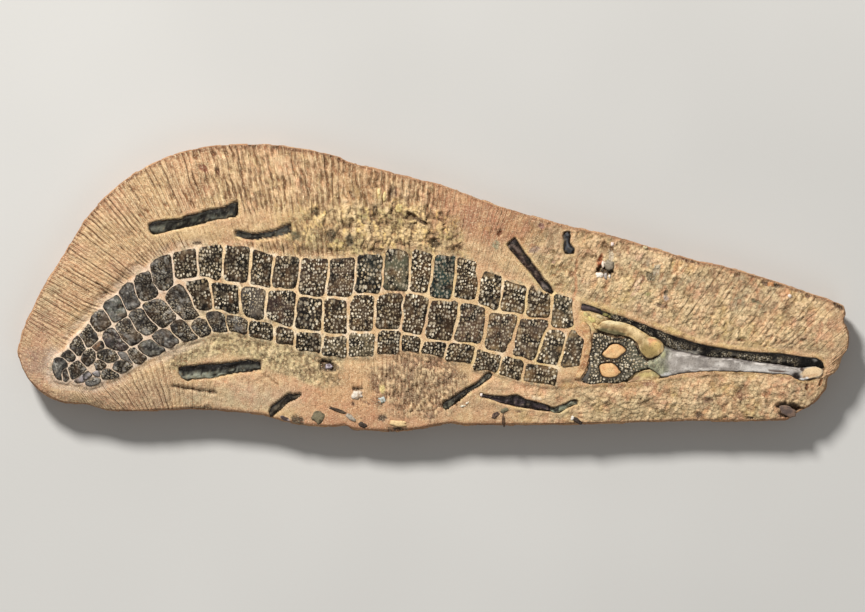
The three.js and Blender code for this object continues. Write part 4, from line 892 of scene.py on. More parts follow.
def surface(x, y, share, inside, upper, phase, along):
    """Height and colour of the stone, and what its material needs of the chisel marks and lumps.

    share runs from 0 at the bed to 1 at the rim, inside is the depth within the bed's outline, phase counts
    the chisel marks and along is the way from the rim. All places lie in the same half, upper or not.
    """
    # shade is the distance to the bones from a place 1.1 mm further down the sheet, so that their painted
    # shadow falls on the stone just above each bone
    bone, shade = (np.min([polygon_distance(x, y + drop, strips[name], 10) for name in LOOSE_BONES], 0)
                   for drop in (0, 1.1))
    zone = zones(x, y, share, inside, upper, bone)
    lumpy, wild, band, chopped, chunky = zone.lumpy, zone.wild, zone.band, zone.chopped, zone.chunky
    chip = noise(x, y, 6, 15, 2)
    stroke, force, bands = strokes(x, phase, along, upper)
    facet, blade, crest, deep = blades(x, y, phase, along, upper, chip)
    tilt_x, tilt_y = TILT[0] * x - TILT[1] * y, TILT[1] * x + TILT[0] * y
    lump, crease = lumps(x, y, tilt_x, tilt_y, chip)
    ragged, rift, hollow = crumbs(x, y, chip)
    flake, split = flakes(x, y)
    mound, grit = noise(x, y, 13, 49, 2), noise(x, y, 2.3, 54, 2)
    marks = zone.chisel * (stroke + 0.25 * bands) * (1 - 0.7 * chunky)
    marks = marks + (1 if upper else 0.85) * chunky * facet
    chisel = zone.chisel * (1 - 0.35 * chunky)
    relief = marks + lumpy * (1.05 * (lump - 0.6) + 0.75 * mound) + wild * (0.85 * ragged + 0.3)
    relief = relief + chopped * (0.7 * flake + 0.4 - 1.5 * split) + 0.5 * band * grit
    relief = relief + 0.32 * noise(x, y, 3.0, 9, 2) * (1 - 0.5 * zone.smooth) * step(5, 0, inside)

    broad = (0.9 * noise(x, y, 48, 1) + 0.5 * noise(x, y, 17, 2)) * step(-2, 10, -inside)
    z = FACE_Z - EDGE_FALL * share**2 + broad - 1.3 * zone.near_bed + relief
    gap, next_gap = plate_gaps(x, y)
    grout = PLATE_Z - 0.85 + 0.97 * arch(x, y) + 0.22 * noise(x, y, 3, 71, 2)
    held = np.maximum(step(-0.5, 3.0, inside) * step(4.5, 1.5, gap), step(6, 10, inside))
    z = z * (1 - held) + grout * held
    open_ground = step(4, 8, gap) * step(545, 560, x) * step(-1, 2, inside)
    z = z + open_ground * (0.8 * noise(x, y, 6, 59, 2) - 0.3)
    head_gap, next_part = np.sort([polygon_distance(x, y, part, 8) for part in head_parts], 0)[:2]
    by_head = step(586, 600, x) * step(-3, 3, inside)
    z = z * (1 - by_head) + (BY_HEAD_Z + 0.6 * noise(x, y, 5, 72, 2)) * by_head
    between = step(4.0, 2.0, next_part)
    sunk = step(0.2 + 1.6 * between, -1.8 + 1.8 * between, head_gap)
    z = z * (1 - sunk) + UNDER_HEAD_Z * sunk
    z = z - 2.9 * step(1.1, -0.5, bone)

    spots = mottling(x, y)
    soft_edge = 0.22 * noise(x, y, 11, 13) + 0.12 * noise(x, y, 3.5, 12)
    colour = patched(PEACH, x, y, PATCHES, soft_edge, 1.35, 0.55)
    banded = chisel * halves(x, upper, BANDED)
    streaks = noise(tilt_y * 2.2, tilt_x, 9, 34)
    halo = step(5.5, 0.5, -inside) * step(225, 185, x) * step(-0.9, 0.2, noise(x, y, 9, 60))
    smudge = noise(phase * 0.55 + 0.6 * noise(phase, along / 30, 1, 37), along / 15, 1, 36)
    smudge = smudge * step(80, 130, x) * step(330, 280, x) * upper
    pock = step(0.42, 0.85, noise(phase * 2.4, along / 4.5, 1, 46, 2))
    pock = pock * np.clip(chisel + 0.5 * chunky, 0, 1) * upper
    rim_shadow = halves(x, upper, RIM_SHADOW) * step(0.972, 0.992, share + 0.012 * noise(x, y, 6, 45))
    colour = paint(
        colour,
        (BAND_PINK, np.clip(banded * step(0.15, 0.9, bands), 0, 1) * 0.55),
        (OLIVE, np.clip(banded * step(0.15, 0.9, -bands), 0, 1) * 0.7),
        (YELLOW, 0.5 * spots(0.05, 0.8, 26, 31)),
        (PINK, 0.5 * spots(0.1, 0.8, 19, 32)),
        (OLIVE, 0.5 * np.maximum(lumpy, wild) * spots(0.1, 0.75, 10, 33, 2)),
        ((218, 160, 132), 0.6 * lumpy * spots(0.15, 0.8, 14, 38, 2)),
        ((222, 192, 122), 0.6 * lumpy * spots(0.1, 0.7, 15, 48, 2)),
        ((158, 152, 128), 0.55 * lumpy * spots(0.15, 0.7, 20, 55, 2)),
        # painted shade in the creases between the lumps
        ((118, 94, 64), 0.45 * lumpy * crease),
        ((150, 138, 106), 0.6 * lumpy * step(0.15, 0.9, -mound)),
        ((218, 150, 112), 0.55 * lumpy * step(0.15, 0.75, streaks)),
        ((164, 152, 118), 0.45 * lumpy * step(0.2, 0.8, -streaks)),
        ((222, 160, 122), 0.45 * chunky * step(0.0, 0.9, blade)),
        ((158, 138, 96), 0.6 * chunky * step(0.0, 0.8, -blade)),
        # painted highlight on the blades' crests and painted shade in the deep cuts between them
        ((250, 222, 166), 0.85 * chunky * crest),
        ((82, 58, 36), 0.85 * chunky * deep),
        ((124, 104, 88), 0.5 * chopped * spots(-0.1, 0.6, 11, 19, 2)),
        # painted shade in the splits between the flakes
        ((70, 52, 38), 0.8 * chopped * split),
        ((110, 88, 74), 0.6 * chopped * step(0.1, 0.9, -flake)),
        ((226, 196, 152), 0.6 * chopped * step(0.1, 0.9, flake) * (1 - split)),
        # painted highlight on the high crumbs of the crumbly patch
        ((244, 208, 128), 0.9 * wild * step(-0.4, 0.6, ragged)),
        ((160, 158, 104), 0.5 * wild * spots(0.1, 0.8, 12, 40, 2)),
        # painted shade in its rifts and hollows
        ((72, 57, 36), 0.55 * wild * rift),
        ((104, 92, 60), 0.5 * wild * hollow),
        ((232, 206, 160), (0.45 + 0.25 * lumpy) * spots(0.0, 0.9, 5, 35)),
        # painted highlight on the tops of the lumps
        ((232, 204, 158), 0.55 * lumpy * step(0.0, 0.7, lump)),
        ((158, 148, 112), 0.55 * band),
        ((100, 86, 62), 0.8 * band * step(0.05, 0.6, -grit)),
        ((226, 206, 156), 0.75 * band * step(0.05, 0.6, grit)),
        ((212, 192, 174), 0.6 * halo),
        ((126, 88, 62), 0.45 * step(0.4, 0.9, smudge)),
        ((128, 90, 62), 0.7 * pock),
        ((240, 206, 162), 0.5 * chisel * step(0.3, 0.8, noise(phase * 1.7, along / 8, 1, 47))),
        # painted shade in the low places of the relief, deepest in the crumbly patch, and painted highlight
        # on its high places
        (BROWN, np.clip(-relief * (0.5 - 0.2 * lumpy) - 0.12, 0, 0.72)),
        ((68, 58, 38), wild * np.clip(-relief * 0.4 - 0.5, 0, 0.65)),
        (CREAM, np.clip(relief * 0.5 - 0.05, 0, 0.6)),
        ((182, 130, 96), 0.5 * step(0.94, 1.0, share)),
        # painted shadow along the rim
        ((98, 66, 48), 0.8 * rim_shadow),
    )
    cream = paint(
        SEAM_CREAM,
        ((196, 158, 112), 0.7 * spots(0, 0.7, 6, 75, 2)),
        ((255, 238, 212), 0.8 * spots(0.05, 0.6, 5, 76, 2)),
        ((228, 212, 202), 0.6 * step(230, 170, x)),
        ((212, 182, 118), 0.55 * step(410, 470, x) * spots(-0.6, 0.3, 12, 78)),
    )
    seam = step(4.2, 2.0, gap) * step(9, 5.5, gap + next_gap) * step(-1, 3, inside)
    seam = np.maximum(seam, step(3.4, 1.0, gap) * step(-2, 2, inside) * 0.35)
    fringe = step(5.0, 1.5, gap) * step(8, 4, np.abs(inside - 1)) * step(8, 12, gap + next_gap)
    colour = paint(
        colour,
        ((204, 176, 114), 0.45 * open_ground * spots(-0.4, 0.5, 9, 79, 2)),
        ((124, 94, 64), 0.6 * open_ground * spots(0.3, 0.8, 4, 80, 2)),
        (cream, 0.9 * seam),
        ((138, 130, 106), 0.7 * fringe * spots(-0.25, 0.5, 2.6, 77, 2) * (1 - by_head)),
        ((172, 138, 98), 0.35 * by_head * step(3.0, 0.5, head_gap)),
        # painted shade on the sunk stone under the head's bones and in the narrow gaps between them
        ((34, 27, 22), 0.85 * sunk),
        ((230, 208, 148), 0.5 * (1 - step(0.5, 5, bone)) * spots(-0.4, 0.6, 7, 18)),
        # painted shadow of the loose bones on the stone, mostly on their upper side
        ((50, 38, 30), 0.85 * (1 - step(-0.6, 0.6, np.minimum(bone, shade)))),
    )
    for mark in WASHES:
        amount = mark[6] * step(1.4, 0.6, in_ellipse(x, y, mark) + 0.2 * noise(x, y, 11, 13))
        colour = colour * (1 - amount[:, None] * (1 - np.array(mark[5])))
    rough_edge = 0.3 * noise(x, y, 3.6, 41) + 0.22 * noise(x, y, 1.7, 42)
    for mark in MARKS:
        amount = step(1.15, 0.85, in_ellipse(x, y, mark) + rough_edge)
        colour = blend(colour, mark[5], 0.92 * amount)
        z = z + mark[6] * amount
    dim_corner = 0.07 * step(240, 150, x) * step(335, 385, y)
    colour = colour * (1 - dim_corner)[:, None]
    for line, width, dark, depth in CRACKS:
        line = walk(line, 3.0)
        line[1:-1] = shaken(line[1:-1], 0.7, 5, (43, 44))
        amount = step(width + 0.7, width - 0.4, line_distance(x, y, line))
        colour = blend(colour, dark, 0.92 * amount)
        z = z - depth * amount
    return under_top(z, SLAB_TOP), colour, chisel, force, lumpy, wild


def build_face():
    """The slab: its worked face, the bed under the animal, its broken sides and its flat back.

    The face is a grid. Its columns run from the rim along the chisel lines to the bed, and on to the animal's
    centre line, where the columns of both halves meet.
    """
    s = np.arange(COLUMNS) / COLUMNS * outline.length
    split = int(np.searchsorted(s, outline.locate(*TURN_POINT)))
    split += 1 - split % 2        # odd, so that every second column takes in the last
    outer, inner = outline.at(s), bed.at(bed_station(s))
    span, side = np.hypot(*(inner - outer).T), np.arange(COLUMNS) < split
    inward = (inner - outer) / span[:, None]
    middle_x = inner[:, 0] - bed.points[:, 0].min()
    middle_x = BACK_LINE[0, 0] + middle_x * np.ptp(BACK_LINE[:, 0]) / np.ptp(bed.points[:, 0])
    drop = np.abs(back_y(inner[:, 0]) - inner[:, 1])
    slant = inward[:, 0] / np.maximum(np.abs(inward[:, 1]), 0.6)
    slant = slant * step(50, 80, inner[:, 0]) * step(826, 790, inner[:, 0])
    middle_x += np.convolve(np.tile(slant * drop * 0.75, 3), np.ones(31) / 31, "same")[COLUMNS:2 * COLUMNS]
    middle_x[side] = np.maximum.accumulate(middle_x[side])
    middle_x[~side] = np.minimum.accumulate(middle_x[~side])
    middle = np.stack([middle_x, back_y(middle_x)], -1)
    depth = np.hypot(*(middle - inner).T)
    deeper = (middle - inner) / depth[:, None]
    pitch = halves(outer[:, 0], side, PITCH)
    turns = np.concatenate([[0], np.cumsum(outline.length / COLUMNS / pitch)[:-1]])
    points, colours, ridges, reliefs, count = [], [], [], [], 0

    def block(columns, amounts, upper):
        """A grid of points: amounts to 1 run from the rim to the bed, and from 1 to 2 on to the middle."""
        nonlocal count
        out, past = np.minimum(amounts, 1)[None], np.maximum(amounts - 1, 0)[None]
        away = RIM + (span[columns][:, None] - RIM) * out
        beyond = depth[columns][:, None] * past
        xy = outer[columns][:, None] + inward[columns][:, None] * away[..., None]
        x, y = (xy + deeper[columns][:, None] * beyond[..., None]).reshape(-1, 2).T
        along = (away + beyond).ravel()
        phase = np.repeat(turns[columns], len(amounts))
        phase = phase + 0.3 * noise(x, y, 26, 51) + 0.15 * noise(x, y, 8, 52)
        inside = -polygon_distance(x, y, bed.points[:-1:8])
        share = np.broadcast_to(1 - out, away.shape).ravel()
        z, colour, chisel, force, lumpy, wild = surface(x, y, share, inside, upper, phase, along)
        points.append(np.stack([x, y, z], -1))
        colours.append(colour)
        ridges.append(np.stack([phase, along / 9, force], -1))
        reliefs.append(np.stack([chisel, lumpy, wild], -1))
        ids = np.arange(count, count + len(x)).reshape(away.shape)
        count += len(x)
        return ids

    quads, triangles, blocks = [], [], []
    for columns, count_of_rows, steps, stop, upper in (
            (np.arange(split), UPPER_ROWS, UPPER_STEPS, 1.0, True),
            (np.arange(split, COLUMNS), LOWER_ROWS, LOWER_STEPS, 0.95, False)):
        past = 1 + (np.arange(1, steps + 1) / steps) ** 1.6 * stop
        fine = np.concatenate([np.linspace(0, 1, count_of_rows), past[:FINE_ROWS]])
        full = block(columns, fine, upper)
        loose = block(columns[::2], past[FINE_ROWS:], upper)      # every second column, in the bed
        quads += [grid_faces(full), grid_faces(loose)]
        triangles += zip_faces(full[:, -1], loose[:, 0])
        blocks.append((full, loose, np.concatenate([fine, past[FINE_ROWS:]])))
    (full, loose, levels), (low_full, low_loose, low_levels) = blocks
    for a, b in ((0, -1), (-1, 0)):
        near, far = np.concatenate([full[a], loose[a]]), np.concatenate([low_full[b], low_loose[b]])
        triangles += zip_faces(near, far, levels, low_levels)
    all_x = np.vstack(points)[:, 0]
    above, below = loose[:, -1], low_loose[::-1, -1]
    triangles += zip_faces(above, below, all_x[above], all_x[below])

    rings = [np.concatenate([full[:, 0], low_full[:, 0]])]
    for inset, level in WALL_STEPS:
        low = np.full(COLUMNS, float(level))
        own = cells(s, low * 1.4, 8, 61)[2]
        facet = 1.5 * own + 1.1 * noise(s, low * 2, 12, 62) + 0.5 * noise(s, low * 3, 5, 65)
        cut = inset + (1.6 + facet) * np.interp(level, [0, 20, 27, 29.5], [1.0, 1.0, 0.35, 0.1])
        if 0.5 < level < 29:          # the uppermost ring and the back stay level
            low = low + 0.9 * noise(s, low, 11, 64)
        layer = noise(s * 0.15, low, 3.2, 63)
        points.append(np.column_stack([outer + inward * np.maximum(cut, 0)[:, None], low]))
        colours.append(paint(
            (178, 132, 96),
            ((138, 98, 68), 0.65 * step(0, 0.8, layer)),
            ((210, 174, 130), 0.55 * step(0, 0.8, -layer)),
            ((100, 74, 54), 0.5 * step(0.1, 0.9, own)),
        ))
        ridges.append(np.column_stack([turns, np.zeros(COLUMNS), np.zeros(COLUMNS)]))
        reliefs.append(np.tile((0, 0.55, 0), (COLUMNS, 1)))
        rings.append(np.arange(count, count + COLUMNS))
        count += COLUMNS
    closed = np.array(rings).T
    quads.append(grid_faces(np.vstack([closed, closed[:1]])))
    points, base = np.vstack(points), rings[-1]
    above, below = base[:split + 1], np.append(base[:1], base[:split - 1:-1])
    triangles += zip_faces(above, below, points[above, 0], points[below, 0])
    piece = make_mesh("worked_slab", points, np.vstack(quads), triangles, np.vstack(colours),
                      {"ridge": np.vstack(ridges), "relief": np.vstack(reliefs)})
    return piece, points


# ---------------------------------------------------------------- bones


def spot_field(x, y, size, strength, turn=0.0, squeeze=1.0):
    """Where the pits of a bone lie, and how strong they are."""
    along, across = turned(x, y, turn)
    return np.stack([along * size * squeeze, across * size, np.broadcast_to(strength, x.shape)], -1)


def domed(name, rim, bottom, top, tint, pits=(1.0, 1.0), sizes=RING_SIZES, turn=0.0, squeeze=1.0):
    """A piece with steep sides: rim is its outline, top(x, y, r) its height at r of the way out.

    tint(x, y, r) gives its colour and how pitted it is; pits are the strength and the fineness of the pits.
    """
    centre, n = rim.mean(0), len(rim)
    xy = centre + np.tile(rim - centre, (len(sizes), 1)) * np.repeat(sizes, n)[:, None]
    x, y = np.vstack([xy, centre, centre]).T
    r = np.append(np.repeat(sizes, n), [0, 0])
    z = top(x, y, r)
    z[:n], z[-1] = bottom, bottom
    ids = np.arange(n * len(sizes)).reshape(len(sizes), n)
    caps = fan(len(x) - 2, ids[-1]) + fan(len(x) - 1, ids[0])
    colour, strength = tint(x, y, r)
    swell = 1 - 0.14 * r**2
    across, down = (x - centre[0]) * swell, (y - centre[1]) * swell
    spots = spot_field(across, down, pits[1], np.clip(strength * pits[0], 0, 1), turn, squeeze)
    spots[:, :2] += rng.uniform(-90, 90, 2)
    quads = grid_faces(np.hstack([ids, ids[:, :1]]))
    return make_mesh(name, np.stack([x, y, z], -1), quads, caps, colour, {"spots": spots})


def sweep(name, sides, low, high, tint, flat, rough, seed, around, level=False):
    """A bone between two side lines; level ones are cut across at equal x, others at equal lengths.

    tint(x, y, side, run) gives its colour and pits; side is -1 to 1 from one side line to the other.
    """
    if level:
        ends = min(side[0, 0] for side in sides), max(side[-1, 0] for side in sides)
        x = np.linspace(*ends, int((ends[1] - ends[0]) / SLICE))
        a, b = (np.stack([x, np.interp(x, *side.T)], -1) for side in sides)
    else:
        t = np.linspace(0, 1, int(np.hypot(*(sides[0][-1] - sides[0][0])) / SLICE) + 2)
        a, b = (follow(line, np.linspace(0, 1, len(line)), t) for line in (walk(side, 0.4) for side in sides))
    centre, half = (a + b) / 2, (b - a) / 2
    s, width = lengths(centre), np.hypot(*half.T)
    reach = np.clip(np.maximum(width[3], width[-4]), 1.5, 5)
    blunt = np.sqrt(1 - (1 - np.clip(np.minimum(s, s[-1] - s) / reach, 0.02, 1)) ** 2)
    turn = np.arange(around) / around * 2 * np.pi
    across, up = (np.sign(w) * np.abs(w) ** (2 / flat) for w in (np.cos(turn), np.sin(turn)))
    waist = low + 0.4 * (high - low)
    xy = centre[:, None] + half[:, None] * ((0.35 + 0.65 * blunt)[:, None] * across)[..., None]
    z = (waist + np.where(up > 0, high - waist, waist - low) * up * blunt[:, None]).ravel()
    x, y = xy[..., 0].ravel(), xy[..., 1].ravel()
    side, top, run = np.tile(across, len(s)), np.tile(up, len(s)), np.repeat(s, around)
    x = x + rough * 0.6 * noise(y, z, 4, seed + 1) * np.abs(side)
    y = y + rough * noise(x, z, 5, seed + 2, 2) * np.abs(side)
    swell = noise(x, y, 5, seed + 3, 2) + 0.8 * noise(run / 14, side * 3, 1, seed + 4)
    z = z + rough * np.clip(top, 0, 1) * swell
    ids = np.arange(len(x)).reshape(len(s), around)
    points = np.vstack([np.stack([x, y, z], -1), [[*centre[k], waist] for k in (0, -1)]])
    caps = fan(len(x), ids[0]) + fan(len(x) + 1, ids[-1])
    side, run = (np.append(v, v[[0, -1]]) for v in (side, run))
    colour, spots = tint(points[:, 0], points[:, 1], side, run)
    return make_mesh(name, points, grid_faces(np.hstack([ids, ids[:, :1]])), caps, colour, {"spots": spots})


def build_plate(name, corners):
    """A bony plate: its rim grows out to its neighbours and leaves a seam of stone between."""
    tail = name.startswith("tail")
    loop, n = Loop(corners, 0.3 if tail else 1.3, 0.4), 40 if tail else 64
    rim, ahead = loop.ring(n), loop.ring(n, 0.5) - loop.ring(n, -0.5)
    outward = np.stack([ahead[:, 1], -ahead[:, 0]], -1) / np.hypot(*ahead.T)[:, None]
    if ((rim - rim.mean(0)) * outward).sum() < 0:
        outward = -outward
    others = [c for key, c in plates.items() if key != name and np.hypot(*(c.mean(0) - corners.mean(0))) < 60]
    free, beyond = (np.min([polygon_distance(*points.T, c) for c in others], 0)
                    for points in (rim, rim + 3 * outward))
    seam = (0.8 if tail else 2.6) + (0.5 if tail else 1.3) * noise(*rim.T, 8, 83)
    growth = np.clip((free - seam) / 2, -0.3, np.where(free < 9, 3.4 if tail else 2.6, 0.3 if tail else 1.3))
    growth = growth * step(0.0, 0.55, (free - beyond) / 3)
    rim = rim + outward * np.convolve(np.tile(growth, 3), np.ones(3) / 3, "same")[n:2 * n, None]
    rim = shaken(rim, 0.45 if tail else 0.9, 9, (81, 82), 2)
    seed = int(rng.integers(1000))
    base, strong, fine = ODD_PLATES.get(name, (None, rng.uniform(0.8, 1.0), rng.uniform(0.95, 1.2)))
    if base is None:
        base = blend((17, 12, 8), (62, 44, 29), rng.uniform(0, 0.9))
    if tail:
        strong, fine = strong * 0.5, 1.5

    def top(x, y, r):
        z = PLATE_Z + arch(x, y) - 0.75 + 1.15 * np.sqrt(np.clip(1 - r**7, 0, 1)) + 0.3 * (1 - r**2)
        return under_top(z + 0.25 * noise(x, y, 6, seed) * (1 - r**4) + 0.14 * noise(x, y, 2.4, seed + 1))

    def tint(x, y, r):
        spots = mottling(x, y)
        silver = (((138, 134, 128), 0.9 * spots(0.0, 0.6, 4, seed + 2, 2)) if tail else
                  ((116, 102, 84), 0.45 * spots(0.0, 0.6, 6, seed + 2, 2)))
        tail_layers = [((64, 63, 64), 0.45 * spots(-0.5, 0.3, 5, seed + 9)),
                       ((186, 182, 172), 0.7 * spots(0.35, 0.9, 1.8, seed + 7, 2)),
                       ((20, 17, 15), 0.7 * spots(0.2, 0.8, 2.4, seed + 8, 2))] if tail else []
        dirt = spots(0.0, 0.6, 6, seed + 6, 2) * step(0.3, 0.95, r) * step(440, 500, x)
        colour = paint(
            base, silver, ((12, 9, 8), 0.85 * spots(0.0, 0.6, 6, seed + 3, 2)), *tail_layers,
            ((112, 82, 54), (0.3 if tail else 0.55) * spots(0.2, 0.85, 7, seed + 4)),
            ((176, 146, 104), 0.7 * dirt),
            # painted shade round the plate's rim, where it falls to the seam
            ((40, 30, 24), 0.6 * step(0.9, 0.98, r)),
        )
        return colour, np.clip(0.8 + 0.75 * noise(x, y, 7, seed + 5) - 0.25 * step(330, 230, x), 0.1, 1)

    edge = corners[1] - corners[0]
    lean = np.degrees(np.arctan2(edge[1], edge[0])) + 90
    return domed(name + "_bone", rim, BONE_Z, top, tint, (strong, fine), turn=lean, squeeze=0.8)


def hole_distance(x, y):
    """Distance to the nearer opening of the skull, negative in it."""
    return np.minimum(*(polygon_distance(x, y, opening) for opening in OPENINGS))


def build_roof():
    """The skull's pitted roof, which falls into its two openings."""
    rim = shaken(Loop(ROOF_OUTLINE, 0.8).ring(120), 0.3, 4, (85, 86))
    edge_z = crown("skull_roof") - 1.7

    def top(x, y, r):
        hole = hole_distance(x, y)
        z = edge_z + 1.3 * np.sqrt(np.clip(1 - r**9, 0, 1)) + 0.3 * noise(x, y, 5, 87)
        z = z + 0.5 * step(2.2, 0.8, hole) - 2.6 * step(0.5, -0.7, hole)
        return z - 0.8 * step(628, 648, x) + 0.16 * noise(x, y, 2, 88)

    def tint(x, y, r):
        spots, hole = mottling(x, y), hole_distance(x, y)
        strip = step(1.2, 0.8, in_ellipse(x, y, (587, 371, 3, 13, 12)))
        bridge = step(1.3, 0.7, in_ellipse(x, y, (610, 361, 8, 1.6, 5)))
        colour = paint(
            (58, 54, 46),
            ((122, 122, 102), 0.75 * step(618, 640, x)),
            ((104, 98, 86), 0.6 * spots(0, 0.7, 6, 89, 2)),
            (BLACK_AND_SHADE, 0.7 * spots(0.1, 0.8, 5, 98, 2)),
            ((106, 102, 98), 0.7 * strip),
            # painted shade round the roof's rim
            (BLACK_AND_SHADE, 0.85 * step(0.93, 0.99, r)),
            ((50, 40, 32), 0.7 * step(1.2, 0.1, hole)),
            ((66, 48, 36), bridge),
        )
        return colour, (0.8 + 0.4 * noise(x, y, 7, 90)) * step(0.6, 2.2, hole) * (1 - 0.8 * strip)

    return domed("skull_roof_bone", rim, BONE_Z, top, tint, (1.25, 1.1), ROOF_RINGS)


def build_fill(k, corners):
    """The smooth stone that fills an opening of the skull."""
    rim = Loop(corners, 0.8, 0.4).ring(44)
    rim = rim.mean(0) + (rim - rim.mean(0)) * 0.97

    def top(x, y, r):
        return FILL_Z + 1.1 * np.sqrt(np.clip(1 - r**5, 0, 1)) + 0.3 * noise(x, y, 3.5, 91 + k, 2)

    def tint(x, y, r):
        spots = mottling(x, y)
        return paint(
            (228, 184, 130),
            ((236, 200, 148), 0.7 * spots(-0.1, 0.6, 3.4, 93 + k, 2)),
            ((214, 146, 102), 0.5 * spots(0.1, 0.7, 4, 95 + k, 2)),
            ((150, 104, 62), 0.8 * step(0.86, 1.0, r)),
        ), np.zeros(len(x))

    return domed(f"opening_fill_{k + 1}", rim, BED_Z + 1, top, tint)


def build_fragment(k, ground, x0, y0, a, b, turn, rise, colour, second):
    """A nodule or splinter that sits in the stone."""
    angle = np.arange(36) / 36 * 2 * np.pi
    reach = 1 + 0.22 * noise(2.2 * np.cos(angle) + k, 2.2 * np.sin(angle), 1, 141)
    reach *= (np.abs(np.cos(angle)) ** 2.6 + np.abs(np.sin(angle)) ** 2.6) ** (-1 / 2.6)
    rim = np.stack(turned(a * reach * np.cos(angle), b * reach * np.sin(angle), -turn), -1) + (x0, y0)
    away = in_ellipse(ground[:, 0], ground[:, 1], (x0, y0, a + 1.5, b + 1.5, turn))
    level = np.percentile(ground[(away < 1.3) & (ground[:, 2] > BED_Z + 1), 2], 60)

    def top(x, y, r):
        z = level - 0.6 + (rise + 0.6) * np.sqrt(np.clip(1 - r**3, 0, 1))
        return under_top(z + 0.18 * (rise + 1) * noise(x, y, min(a, b) * 0.9, 142 + k, 2) * (1 - r))

    def tint(x, y, r):
        blotches = noise(x, y, max(a, b) * 0.5, 143 + k, 2)
        tone = paint(colour, (second, 0.8 * step(0.0, 0.7, blotches)), (second, 0.6 * step(0.75, 1.0, r)))
        return tone, np.zeros(len(x))

    return domed(f"fragment_{k + 1:02d}", rim, level - FRAGMENT_DEPTH, top, tint)


def build_rod(name):
    """One of the loose bones."""
    base, glint, patches = BONE_TONES[name]
    seed = int(rng.integers(1000))

    def tint(x, y, side, run):
        spots = mottling(x, y)
        streak = noise(run / 11, side * 1.3, 1, seed + 6, 4)
        half_shaded = name == "long_bone_lower_left"
        colour = paint(
            patched(base, x, y, patches, 0.25 * noise(x, y, 3, seed + 5)),
            (glint, 0.75 * step(0.05, 0.8, streak)),
            (BLACK_AND_SHADE, 0.8 * step(0.0, 0.7, -streak)),
            (glint, 0.75 * spots(0.15, 0.7, 2.3, seed + 8, 2)),
            (BLACK_AND_SHADE, 0.7 * spots(0.15, 0.7, 3.0, seed + 9, 2)),
            ((146, 128, 96), 0.5 * spots(0.5, 0.95, 1.9, seed + 10, 2)),
            # painted shade along the side towards the back of the slab; on long_bone_lower_left it covers the
            # whole back half
            (BLACK_AND_SHADE, step(0.15, -0.2, side) if half_shaded else 0.6 * step(0.0, -0.9, side)),
        )
        return colour, spot_field(x, y, 1.0, 0.0)

    high = BED_Z + 0.86 * (crown(name) - BED_Z)
    return sweep(name + "_fossil", STRIPS[name], LOOSE_Z, high, tint, 3.4, 0.95, seed, 32)


def build_jaw():
    """The black, finely pitted strip beside the snout."""
    def tint(x, y, side, run):
        spots = mottling(x, y)
        streak = noise(run, side * 10, 10, 102, 3)
        hind = step(655, 668, x) * step(708, 694, x) * step(-0.2, 0.3, side)
        fore = step(708, 722, x) * step(800, 790, x) * step(-0.5, 0.2, side)
        colour = paint(
            (13, 10, 9),
            ((88, 74, 74), 0.85 * step(604, 595, x) * step(-0.9, -0.4, side)),
            ((168, 158, 96), 0.8 * step(594, 600, x) * step(616, 610, x) * spots(-0.2, 0.3, 2.4, 105, 2)),
            ((150, 146, 138), 0.85 * hind * step(-0.35, 0.4, streak)),
            ((132, 126, 112), 0.55 * fore * step(0.1, 0.5, streak)),
            ((84, 76, 64), 0.4 * step(0.25, 0.7, -streak) * step(612, 622, x) * step(806, 796, x)),
            ((14, 12, 11), 0.9 * step(799, 806, x)),
            ((150, 146, 140), 0.8 * step(1.2, 0.6, in_ellipse(x, y, (815, 360, 3, 1, 10)))),
        )
        pitted = step(608, 618, x) * step(802, 788, x) * spots(-0.45, 0.25, 5, 104, 2)
        pitted = pitted * np.interp(x, [655, 680, 700, 735], [1, 0.45, 0.35, 0.8])
        low, high = (np.interp(x, [620, 700], ends) for ends in ([-1.1, -0.7], [-0.8, 0.1]))
        pitted = pitted * step(low, high, side)
        return colour, spot_field(x, y, 1.7, 0.8 * pitted, 20)

    return sweep("lower_jaw_bone", STRIPS["jaw"], BONE_Z, crown("jaw"), tint, 3.2, 0.75, 101, 40, level=True)


